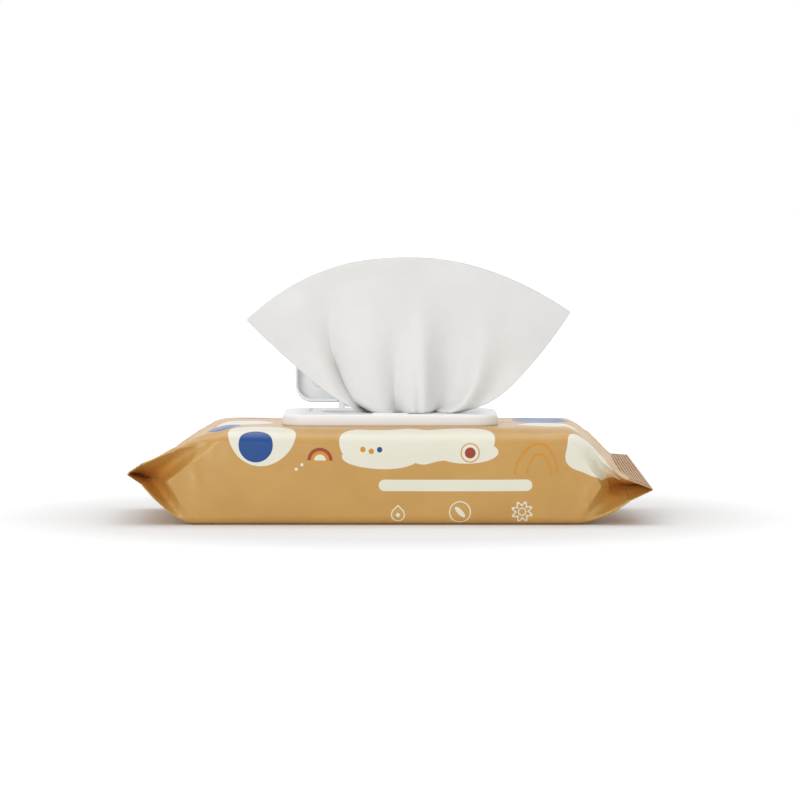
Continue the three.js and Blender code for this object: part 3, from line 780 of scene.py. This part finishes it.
barrel = round_bar("barrel", -BARREL_END, BARREL_END, HINGE_Y, HINGE_Z, BARREL_RADIUS)
pin = round_bar("pin", -PIN_END, PIN_END, HINGE_Y, HINGE_Z, PIN_RADIUS, 0.2)
rings = section_rings(ledge(
    (TAB_HALF, TAB_CORNER, flap_front + 0.2),
    (TAB_SOFT, FLAP_BOTTOM), (0, FLAP_BOTTOM + TAB_SOFT),
    (0, FLAP_BOTTOM + TAB_THICK - TAB_SOFT), (TAB_SOFT, FLAP_BOTTOM + TAB_THICK),
))
tab = outward(mesh_object("tab", rings, loft_faces(rings, capped=True), 40))
behind = (-12, flap_front + 0.8, 0), (12, flap_front + 8, FLAP_TOP + 5)
cut_away(tab, soft_box("tab_cut", *behind, 0.1))
flap = joined("lid_flap_moulding", [flap, barrel, pin, tab])
pivot = Vector((0, HINGE_Y, HINGE_Z)) * MM
opening = Matrix.Rotation(OPEN_ANGLE, 4, "X")
flap.data.transform(Matrix.Translation(pivot) @ opening @ Matrix.Translation(-pivot))
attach(flap, "flap")
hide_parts("lid_flap")
print("flap faces:", len(flap.data.polygons))

# %% [markdown]
# The wipe is one soft sheet. It stands in deep pleats in the orifice, bunches out over the lid, and
# opens into a fan. A cloth simulation wouldn't land in these pleats, so the sheet is a grid that is
# drawn, from the edge down to the lid, and its valleys are placed one by one.

# %% The raised wipe
CONTACT_HALF, CONTACT_X = 22.5, 9.5
FAN_HALF, FAN_X = 73.6, 8.3
FAN_TOP, CORNER_DROP, PEAK = 117.6, 26.5, 0.03
COLUMNS, ROWS_UP = 280, 120
VALLEYS = [
    # place at the lid and half-way up, depth, width, reach upwards, how far the cloth folds over
    (-0.86, -0.665, 12.5, 0.10, 1.15, 6.0),
    (-0.26, -0.07, 8.0, 0.15, 0.95, 2.5),
    (0.50, 0.345, 14.0, 0.14, 1.1, -6.5),
    (0.97, 0.78, 7.0, 0.12, 0.9, -1.5),
    (0.12, 0.03, 1.5, 0.05, 1.0, 0.5),
]
LEAN_AT = (0, 0.04, 0.14, 0.35, 0.7, 1.0)
LEAN = (-21.5, -23.5, -22.5, -17.5, -9.5, -4.5)
RUMPLE = 2.6

across = np.linspace(-1, 1, COLUMNS + 1)[None, :]
up = (np.linspace(1, 0, ROWS_UP + 1) ** 1.25)[:, None]
contact_z = DECK + 0.4
top_z = FAN_TOP - CORNER_DROP * np.abs(across - PEAK) ** np.where(across < PEAK, 2.5, 1.95)
opening_out = np.where(across < 0, mix(0.7, 0.8, -across), mix(0.7, 0.6, across))
wipe_x = mix(CONTACT_X + across * CONTACT_HALF, FAN_X + across * FAN_HALF, up ** opening_out)
wipe_z = mix(contact_z, top_z, up)
lean = np.interp(up, LEAN_AT, LEAN)
for _ in range(60):
    lean[1:-1] = (lean[:-2] + 2 * lean[1:-1] + lean[2:]) / 4
wipe_y = lean + 5 * up * across ** 2 + 5.0 * (1 - up) * across ** 4
for at_lid, half_way, depth, width, reach, over in VALLEYS:
    valley_place = at_lid + (half_way - at_lid) * 2 * up
    away = (across - valley_place) / (width * (1 + 0.45 * up))
    fade = 1 - smooth(up / reach)
    wipe_y += depth * fade * np.exp(-away ** 2)
    wipe_x -= over * fade * smooth(up / 0.1) * away * np.exp(-away ** 2)
rumple = np.array([
    [noise.noise(Vector((column * 2.6, row * 1.7, 2.0))) for column in across[0]] for row in up[:, 0]
])
wipe_y += RUMPLE * rumple * smooth((1 - up) / 0.15)
fan = np.stack((wipe_x, wipe_y, wipe_z), axis=2)
print("fan y from and to in mm:", wipe_y.min().round(1), wipe_y.max().round(1))

# %% [markdown]
# Under the billow the cloth runs back over the deck to the orifice, and then down to the stack. It
# has less room there, so it waves to and fro. The rows go on from the fan's lowest one, so that the
# sheet stays in one piece.

# %% Down through the orifice
THROAT_HALF, THROAT_X, THROAT_DEPTH = 18.0, 6.0, 9.5
ROWS_UNDER, ROWS_DOWN = 12, 10
WAVES = 34

throat_x = THROAT_X + across * THROAT_HALF
throat_y = np.clip(wipe_y[-1:] + 14, -THROAT_DEPTH, THROAT_DEPTH) + 1.5 * np.sin(across * WAVES)
under = np.linspace(0, 1, ROWS_UNDER + 1)[1:, None]
under_x = mix(fan[-1:, :, 0], throat_x, under)
under_y = mix(fan[-1:, :, 1], throat_y, under)
lift = 1.2 * np.sin(math.pi * under) * (0.5 + 0.5 * np.sin(across * WAVES))
under_z = contact_z - 0.1 + lift
down = np.linspace(0, 1, ROWS_DOWN + 1)[1:, None]
down_z = mix(contact_z - 0.1, wipe_low[2] + 0.7, down) + 0 * across
sheet = np.vstack((
    fan, np.stack((under_x, under_y, under_z), axis=2),
    np.stack((throat_x + 0 * down, throat_y + 0 * down, down_z), axis=2),
))
wipe = mesh_object("wipe_sheet", sheet, loft_faces(sheet, ring_closed=False), 180)
lengths = np.linalg.norm(np.diff(sheet, axis=1), axis=2).sum(axis=1)
print("cloth across, at the top, middle and lid in mm:", lengths[[0, ROWS_UP // 2, ROWS_UP]].round(0))

# %% [markdown]
# Wipes are folded in half, so the lower half of the raised one still lies flat on the stack. It is
# a second, gently waved grid. Both halves then get the thickness of the cloth from one Solidify
# modifier, which is applied at once.

# %% The half of the wipe that still lies on the stack
TAIL_HALF, TAIL_STEPS, TAIL_WAVE = (80.0, 44.0), (60, 30), 0.25
CLOTH_THICK = 0.5 * MM

tail_x, tail_y = np.meshgrid(*(np.linspace(-1, 1, steps + 1) for steps in TAIL_STEPS))
tail_z = wipe_low[2] + 0.5 + TAIL_WAVE * np.sin(tail_x * 9) * np.cos(tail_y * 4)
tail_grid = np.stack((tail_x * TAIL_HALF[0], tail_y * TAIL_HALF[1], tail_z), axis=2)
tail = mesh_object("tail", tail_grid, loft_faces(tail_grid, ring_closed=False), 180)
wipe = joined("wipe_sheet", [wipe, tail])
thick = wipe.modifiers.new("thickness", "SOLIDIFY")
thick.thickness = CLOTH_THICK
thick.offset = 0
settle(wipe)
outward(wipe)
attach(wipe, "pack")
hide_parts("raised_wipe")
print("wipe faces:", len(wipe.data.polygons))

# %% [markdown]
# Materials are node trees. One helper makes any node and joins its inputs, and the others are for
# what comes back all the time: sums, colour mixes, ramps and screen colours.

# %% Node helpers
MATH = "ShaderNodeMath"
VECTOR = "ShaderNodeVectorMath"
NOISE = "ShaderNodeTexNoise"


def node(tree, kind, *inputs, out=0, **settings):
    """Makes a node, sets or links its inputs in order or by name, and returns one output."""
    made = tree.nodes.new(kind)
    named = settings.pop("named", {})
    for key, value in settings.items():
        setattr(made, key, value)
    for key, value in [*enumerate(inputs), *named.items()]:
        if isinstance(value, bpy.types.NodeSocket):
            tree.links.new(value, made.inputs[key])
        elif value is not None:
            made.inputs[key].default_value = value
    return made.outputs[out]


def calc(tree, operation, *inputs):
    return node(tree, MATH, *inputs, operation=operation)


def blend(tree, mask, first, second, way="MIX"):
    """Mixes two colours by a mask, or multiplies the first by the second where the mask is one."""
    return node(tree, "ShaderNodeMix", named={0: mask, 6: first, 7: second}, data_type="RGBA",
                blend_type=way, out=2)


def ramp(tree, value, low, high, to_low=0.0, to_high=1.0, soft=True):
    """Takes values from low to high onto the range from to_low to to_high."""
    return node(tree, "ShaderNodeMapRange", value, low, high, to_low, to_high,
                interpolation_type="SMOOTHSTEP" if soft else "LINEAR")


def xyz(tree, vector):
    """A vector's three values as sockets."""
    return node(tree, "ShaderNodeSeparateXYZ", vector).node.outputs


def srgb(*levels):
    """A colour that is given as it looks on a screen, from 0 to 255, as the shader wants it."""
    shares = [level / 255 for level in levels]
    return (*(c / 12.92 if c <= 0.04045 else ((c + 0.055) / 1.055) ** 2.4 for c in shares), 1.0)


print("a tan as the shader takes it:", [round(c, 3) for c in srgb(194, 153, 94)])

# %% [markdown]
# A node group is a material effect with named inputs and outputs, which can be used again. Film,
# plastic and tape share one: an uneven grain that tilts the surface a little and makes it duller
# here and glossier there. Each material gives it its own scale and levels of roughness.

# %% The grain group


def new_group(name, inputs, outputs):
    """An empty node group with its sockets. Returns the tree, its inputs and its output node."""
    tree = bpy.data.node_groups.new(name, "ShaderNodeTree")
    for label, kind, value in inputs:
        made = tree.interface.new_socket(label, in_out="INPUT", socket_type="NodeSocket" + kind)
        if value is not None:
            made.default_value = value
    for label, kind in outputs:
        tree.interface.new_socket(label, in_out="OUTPUT", socket_type="NodeSocket" + kind)
    entry = tree.nodes.new("NodeGroupInput")
    return tree, entry.outputs, tree.nodes.new("NodeGroupOutput")


grain_inputs = [
    ("Place", "Vector", None), ("Scale", "Float", 100.0), ("Detail", "Float", 2.0),
    ("Coarseness", "Float", 0.5), ("Glossiest", "Float", 0.3), ("Dullest", "Float", 0.5),
]
grain_outputs = [("Height", "Float"), ("Roughness", "Float")]
grain_group, given, result = new_group("fine grain", grain_inputs, grain_outputs)
uneven = node(grain_group, NOISE, named={
    "Vector": given["Place"], "Scale": given["Scale"], "Detail": given["Detail"],
    "Roughness": given["Coarseness"],
})
grain_group.links.new(uneven, result.inputs["Height"])
dulled = ramp(grain_group, uneven, 0.3, 0.7, given["Glossiest"], given["Dullest"])
grain_group.links.new(dulled, result.inputs["Roughness"])


def grain(tree, *inputs):
    """Places the group in a material. Returns its height and its roughness."""
    outputs = node(tree, "ShaderNodeGroup", *inputs, node_tree=grain_group).node.outputs
    return outputs["Height"], outputs["Roughness"]


print("nodes in the grain:", len(grain_group.nodes))

# %% [markdown]
# The print is flat colour on flat film, so every motif is a shape on the film's own coordinates.
# One function draws them all: a box with round corners, which can be a disc or a pill, turned,
# stretched, as a line, with a wavy edge, or cut off below a level. It works out the distance to the
# shape's edge, and the mask is one inside of it.

# %% A printed shape
INK_EDGE = 0.12


def printed_shape(
        tree, place, centre, half, corner, turn=0, stretch=None, line=0, wave=0, waves=5, cut=None):
    """The mask of one motif. Sizes are in mm on the film."""
    local = node(tree, VECTOR, place, (-centre[0], -centre[1], 0), operation="ADD")
    at = local
    if turn:
        at = node(tree, "ShaderNodeVectorRotate", at, named={"Angle": turn}, rotation_type="Z_AXIS")
    if stretch:
        at = node(tree, VECTOR, at, (1, stretch, 1), operation="MULTIPLY")
    folded = node(tree, VECTOR, at, operation="ABSOLUTE")
    inner = node(tree, VECTOR, folded, (corner - half[0], corner - half[1], 0), operation="ADD")
    outside = node(tree, VECTOR, inner, (0, 0, 0), operation="MAXIMUM")
    outside = node(tree, VECTOR, outside, (1, 1, 0), operation="MULTIPLY")
    distance = calc(tree, "SUBTRACT", node(tree, VECTOR, outside, operation="LENGTH", out=1), corner)
    if half[0] > corner and half[1] > corner:
        sides = xyz(tree, inner)
        near = calc(tree, "MINIMUM", calc(tree, "MAXIMUM", sides[0], sides[1]), 0.0)
        distance = calc(tree, "ADD", distance, near)
    if wave:
        sides = xyz(tree, at)
        angle = calc(tree, "ARCTAN2", sides[1], sides[0])
        swing = calc(tree, "SINE", calc(tree, "MULTIPLY_ADD", angle, float(waves), centre[0]))
        distance = calc(tree, "MULTIPLY_ADD", swing, wave, distance)
    if line:
        distance = calc(tree, "SUBTRACT", calc(tree, "ABSOLUTE", distance), line)
    if cut is not None:
        below = calc(tree, "SUBTRACT", xyz(tree, local)[1], float(cut))
        distance = calc(tree, "MAXIMUM", distance, below)
    return ramp(tree, distance, INK_EDGE, -INK_EDGE)


print("width of an ink's soft edge in mm:", 2 * INK_EDGE)

# %% [markdown]
# The design is a new one in the same few inks: cream, blue, terracotta and ochre on tan, with no
# lettering. Places are in mm: along the pack from its middle, and down the front from its top edge.
# Places below zero lie on the top, and those beyond REAR on the rear side.

# %% Inks and kinds of motif
TAN, CREAM = srgb(198, 154, 84), srgb(228, 225, 208)
BLUE, TERRACOTTA, OCHRE = srgb(0, 66, 136), srgb(152, 58, 24), srgb(205, 138, 30)


def disc(x, y, radius, **more):
    return dict(centre=(x, y), half=(radius, radius), corner=radius, **more)


def pill(x, y, half_x, half_y, **more):
    return dict(centre=(x, y), half=(half_x, half_y), corner=min(half_x, half_y), **more)


def oval(x, y, half_x, half_y, **more):
    return dict(centre=(x, y), half=(half_x, half_x), corner=half_x, stretch=half_x / half_y, **more)


def drop(x, y, radius, ink):
    """A disc, and on it the top of a square that stands on its corner."""
    point = dict(centre=(x, y), half=(radius, radius), corner=0.2, turn=math.pi / 4, cut=-0.7 * radius)
    return [(ink, disc(x, y, radius)), (ink, point)]


print("a pill as the function takes it:", pill(0, 0, 34, 2.5))

# %% [markdown]
# The order of the list counts: a motif covers those above it. That is how the arch gets its bands
# and the drop its outline, with no motif more complex than a disc.

# %% The motifs
REAR = -2 * half_depth
MOTIFS = [
    # left: a blue disc on a cream pebble, and two dots
    (CREAM, oval(-57, -1, 15, 13, wave=0.5, waves=3)),
    (BLUE, disc(-59.5, 3.2, 7.6)),
    (CREAM, disc(-41.5, 13.5, 0.7)),
    (CREAM, disc(-39.0, 11.5, 0.7)),
    # a small arch in three inks
    (TERRACOTTA, disc(-31, 9.5, 5.6, cut=0)),
    (OCHRE, disc(-31, 9.5, 4.1, cut=0)),
    (CREAM, disc(-31, 9.5, 2.6, cut=0)),
    # the wide cream hills, with a ringed dot
    (CREAM, pill(12, 0.5, 34, 9.5, wave=0.9, waves=4)),
    (CREAM, oval(-4, 7.5, 17, 5.6, wave=0.4, waves=3)),
    (CREAM, oval(34, 5.5, 14, 5.0)),
    (TERRACOTTA, disc(35.5, 5.8, 2.4)),
    (OCHRE, disc(35.5, 5.8, 4.0, line=0.25)),
    # the bare label bar
    (CREAM, pill(29, 20.2, 34, 2.55)),
    # right: two ochre arches, and a cream pebble that runs over the end
    (OCHRE, oval(65, 15.5, 9.5, 13.0, line=0.4, wave=0.4, waves=3, cut=0)),
    (OCHRE, oval(66, 15.5, 5.5, 8.5, line=0.35, wave=0.3, waves=3, cut=0)),
    (CREAM, oval(92, 4.5, 14.5, 12.5, wave=0.9, waves=5)),
    # three dots on the hills
    (OCHRE, disc(-12.0, 4.5, 1.2)),
    (OCHRE, disc(-8.3, 5.2, 1.2)),
    (BLUE, disc(-4.6, 4.5, 1.2)),
    # the three signs: a drop, a leaf and a flower
    *drop(3.5, 33.2, 3.1, CREAM),
    *drop(3.5, 33.2, 2.6, TAN),
    (CREAM, disc(3.5, 33.4, 0.9)),
    (CREAM, disc(31, 32, 4.6, line=0.24)),
    (CREAM, oval(31, 32, 3.1, 3.1 * 0.36, turn=-0.8)),
    (CREAM, disc(58.5, 32, 1.6, line=0.24)),
    (CREAM, disc(58.5, 32, 3.6, line=0.5, wave=0.8, waves=8)),
    # the top
    (BLUE, oval(-76, -26, 9, 20)),
    (CREAM, oval(-66, -48, 13, 14, wave=0.8, waves=3)),
    (BLUE, oval(68, -66, 13, 20, wave=0.6, waves=3)),
    (CREAM, oval(72, -34, 14, 11, wave=0.8, waves=5)),
    (TERRACOTTA, oval(-64, -82, 9, 8)),
    (OCHRE, oval(66, -18, 9, 4, line=0.4)),
    # the rear: a bare panel and a few shapes
    (CREAM, dict(centre=(-16, REAR - 21), half=(52, 14.0), corner=3.0)),
    (BLUE, disc(56, REAR - 12, 7.5)),
    (CREAM, oval(66, REAR - 25, 12, 8.5, wave=0.6, waves=4)),
    (TERRACOTTA, disc(48, REAR - 29, 3.6)),
    (OCHRE, disc(48, REAR - 29, 5.2, line=0.3)),
]
print("motifs:", len(MOTIFS))

# %% [markdown]
# The inks are laid on one after another, as a press does, and each covers what lies under it. The
# bare film is not one flat tan either: a slow noise shifts it a little. All of it is one group that
# takes a place on the film and puts out the ink's colour.

# %% The print as one group
print_group, given, result = new_group("film print", [("Place", "Vector", None)], [("Ink", "Color")])
patches = node(print_group, NOISE, named={"Vector": given["Place"], "Scale": 0.045, "Detail": 2.0})
ink = blend(print_group, ramp(print_group, patches, 0.35, 0.65), TAN, srgb(194, 149, 79))
for colour, motif in MOTIFS:
    ink = blend(print_group, printed_shape(print_group, given["Place"], **motif), ink, colour)
print_group.links.new(ink, result.inputs["Ink"])
print("nodes in the print:", len(print_group.nodes))

# %% [markdown]
# A material starts from Blender's Principled BSDF, which stands for most real surfaces. A height
# becomes a bump: the surface keeps its shape, but the light on it changes as if it had one.

# %% Material helpers


def new_material(name, **settings):
    """A material with its Principled BSDF set. Returns the material, its tree and the shader."""
    material = bpy.data.materials.new(name)
    material.use_nodes = True
    shader = material.node_tree.nodes["Principled BSDF"]
    for key, value in settings.items():
        shader.inputs[key.replace("_", " ").title().replace("Ior", "IOR")].default_value = value
    return material, material.node_tree, shader


def bump(tree, shader, height, distance_mm, strength=1.0):
    """Joins a height to the shader's normal. The height of 1 stands for the distance."""
    normal = node(tree, "ShaderNodeBump", named={
        "Strength": strength, "Distance": distance_mm * MM, "Height": height,
    })
    tree.links.new(normal, shader.inputs["Normal"])


print("bump of 1 mm in Blender's units:", MM)

# %% [markdown]
# The film is matt laminate with a thin clear layer over its print, so it has a soft shine with a
# faint sharper one on top. In the crimps the shine is nearly gone, because the jaws break it up,
# and the grooves between the ridges get painted shade: the print is made darker there. Inside the
# tucks the tan is painted lighter and warmer, as painted bounce light between the layers of film.

# %% Printed film
film_paint, tree, shader = new_material(
    "printed film", roughness=0.36, coat_weight=0.3, coat_roughness=0.16, ior=1.4)
place = node(tree, "ShaderNodeAttribute", attribute_name="film_place", out="Vector")
stamped = node(tree, "ShaderNodeGroup", place, node_tree=print_group)
ridge = xyz(tree, place)[2]
ridge_wave = calc(tree, "COSINE", calc(tree, "MULTIPLY", ridge, 2 * math.pi))
# the groove mask darkens the print as painted shade, and dulls the shine
crimp_groove_shade_and_dullness = calc(tree, "MULTIPLY_ADD", ridge_wave, 0.5, 0.45)
crimp_groove_shade_and_dullness = calc(tree, "MULTIPLY", crimp_groove_shade_and_dullness, ramp(tree, ridge, 0.0, 0.1))
# painted shade: the print is multiplied darker in the grooves of the crimp
crimp_painted_shade = blend(tree, crimp_groove_shade_and_dullness, stamped, srgb(128, 86, 52), "MULTIPLY")
# painted light: inside the tucks the print is made lighter and warmer, as bounce light
with_painted_tuck_light = blend(tree, ramp(tree, ridge, 0.0, -1.0), crimp_painted_shade, (1.25, 1.12, 0.9, 1), "MULTIPLY")
tree.links.new(with_painted_tuck_light, shader.inputs["Base Color"])
wrinkle, uneven_gloss = grain(tree, place, 0.07, 2.0, 0.4, 0.33, 0.42)
tree.links.new(ramp(tree, crimp_groove_shade_and_dullness, 0.0, 0.3, 0.28, 0.08), shader.inputs["Coat Weight"])
tree.links.new(calc(tree, "MULTIPLY_ADD", crimp_groove_shade_and_dullness, 0.3, uneven_gloss), shader.inputs["Roughness"])
bump(tree, shader, wrinkle, 1.2, 0.22)
print("nodes in the film's material:", len(tree.nodes))

# %% [markdown]
# The lid is polypropylene, white with a hint of blue, and satin from the tool's fine texture. The
# adhesive pad is a thin ring of tape, a little yellow and mottled. Both take the grain group on
# their generated coordinates, which run from 0 to 1 over the piece.

# %% Moulded plastic and adhesive tape


def grained(name, colour, scale, detail, glossiest, dullest, distance_mm, strength):
    """A material of one colour with the grain in its bump and its roughness."""
    material, tree, shader = new_material(name, base_color=colour)
    place = node(tree, "ShaderNodeTexCoord", out="Generated")
    height, roughness = grain(tree, place, scale, detail, 0.5, glossiest, dullest)
    tree.links.new(roughness, shader.inputs["Roughness"])
    bump(tree, shader, height, distance_mm, strength)
    return material


lid_paint = grained("white moulded plastic", srgb(239, 240, 241), 900.0, 2.0, 0.28, 0.4, 0.05, 0.25)
pad_paint = grained("adhesive pad", srgb(226, 224, 216), 300.0, 3.0, 0.45, 0.65, 0.1, 0.3)
print("materials:", lid_paint.name, "and", pad_paint.name)

# %% [markdown]
# A non-woven wipe is pressed from loose fibres. Close up it has clouds, where the fibres lie thick
# or thin, and a fine tangle between them. Damp, it is white and matt. Two noises stand for the two
# scales, on object coordinates, which keep their size the same on the wipe and on the stack.

# %% Non-woven wipe
wipe_paint, tree, shader = new_material("damp non-woven wipe", roughness=0.85)
place = node(tree, "ShaderNodeTexCoord", out="Object")
clouds = node(tree, NOISE, named={"Vector": place, "Scale": 90.0, "Detail": 4.0})
fibres = node(tree, NOISE, named={"Vector": place, "Scale": 1400.0, "Detail": 3.0, "Distortion": 1.5})
white = blend(tree, ramp(tree, clouds, 0.35, 0.65), srgb(229, 228, 226), srgb(231, 230, 228))
tree.links.new(white, shader.inputs["Base Color"])
tangle = calc(tree, "MULTIPLY_ADD", clouds, 0.3, calc(tree, "MULTIPLY", fibres, 0.6))
bump(tree, shader, tangle, 0.4, 0.4)

for obj, material in (
    (pouch, film_paint), (lid_base, lid_paint), (flap, lid_paint), (wipe, wipe_paint),
    (frame["nodes"]["adhesive_pad"], pad_paint), (stack, wipe_paint),
):
    obj.data.materials.clear()
    obj.data.materials.append(material)
    print(obj.name, "is", material.name)

# %% [markdown]
# The pack lies on a plain pale floor. A white floor gives back about 84 percent of the light, which
# looks grey here. So away from the pack it glows a little for the camera alone: that takes it to
# white without lighting the pack. Close to the pack it glows less and stays grey, a painted shadow
# round the pack that adds to its own shadow.

# %% Floor
FLOOR_HALF, FLOOR_GAP, FLOOR_GREY = 6.0, 0.0002, 0.84

floor_mesh = bpy.data.meshes.new("floor")
floor_corners = [(x * FLOOR_HALF, y * FLOOR_HALF, 0) for x, y in ((-1, -1), (1, -1), (1, 1), (-1, 1))]
floor_mesh.from_pydata(floor_corners, [], [(0, 1, 2, 3)])
floor = add("floor", floor_mesh)
floor.location.z = -FLOOR_GAP
floor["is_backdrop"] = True
floor_paint, tree, shader = new_material(
    "floor", base_color=(FLOOR_GREY, FLOOR_GREY, FLOOR_GREY, 1), roughness=0.9, emission_color=(1, 1, 1, 1))
to_camera = tree.nodes.new("ShaderNodeLightPath").outputs["Is Camera Ray"]
distance = node(tree, VECTOR, node(tree, "ShaderNodeNewGeometry"), operation="LENGTH", out=1)
# painted shadow: within about 0.2 m of the middle the floor glows less and stays grey
glow_past_painted_shadow = ramp(tree, distance, 0.12, 0.21, 0.0, 0.2)
far_glow = ramp(tree, distance, 0.21, 1.0, 0.0, 0.8)
glow = calc(tree, "MULTIPLY", to_camera, calc(tree, "ADD", glow_past_painted_shadow, far_glow))
tree.links.new(glow, shader.inputs["Emission Strength"])
floor.data.materials.append(floor_paint)
print("floor colour:", FLOOR_GREY)

# %% [markdown]
# The world is a white room. It lights the pack at half strength, and shows at full strength to the
# camera and in reflections, which the Light Path node can tell apart.

# %% Sky
ROOM_LIGHT, ROOM_SEEN = 0.5, 1.0

world = bpy.data.worlds.new("studio")
bpy.context.scene.world = world
world.use_nodes = True
tree = world.node_tree
background = tree.nodes["Background"]
background.inputs["Color"].default_value = (1, 1, 1, 1)
rays = tree.nodes.new("ShaderNodeLightPath").outputs
clear = calc(tree, "MAXIMUM", rays["Is Transmission Ray"], rays["Is Glossy Ray"])
seen = calc(tree, "MAXIMUM", rays["Is Camera Ray"], clear)
room = ramp(tree, seen, 0.0, 1.0, ROOM_LIGHT, ROOM_SEEN, soft=False)
tree.links.new(room, background.inputs["Strength"])
print("room light:", ROOM_LIGHT)

# %% [markdown]
# Three wide lamps do the rest, each a rectangle of light, because a small lamp would cast a hard
# shadow. The one overhead gives the shadow under the pack, the one at the front lights the printed
# side and brings out the pleats, and a weak one on the right softens the other seal.

# %% Lamps


def lamp(name, place, target, size, power):
    """A rectangular lamp at a place in metres, turned to its target."""
    data = bpy.data.lights.new(name, "AREA")
    data.shape = "RECTANGLE"
    data.size, data.size_y = size
    data.energy = power
    obj = add(name, data)
    obj.location = place
    obj.rotation_euler = (Vector(target) - Vector(place)).to_track_quat("-Z", "Y").to_euler()
    print("lamp", name, "of", power, "W")


lamp("overhead", (-0.05, 0.2, 1.1), (0, 0, 0), (2.0, 1.1), 8.5)
lamp("right", (1.6, -0.9, 0.45), (0, 0, 0.02), (0.8, 0.7), 3)
lamp("front", (-1.0, -2.0, 0.45), (0, 0, 0.03), (1.4, 0.9), 17)
bpy.context.scene.view_settings.view_transform = "Standard"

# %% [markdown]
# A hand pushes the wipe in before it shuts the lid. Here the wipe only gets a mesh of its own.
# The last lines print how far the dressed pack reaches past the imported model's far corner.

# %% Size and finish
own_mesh(wipe)
visual_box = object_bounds()
grown = (np.array(visual_box[1]) - np.array(cad_box[1])) / MM
print("past the packed model's far corner in mm:", grown.round(1))
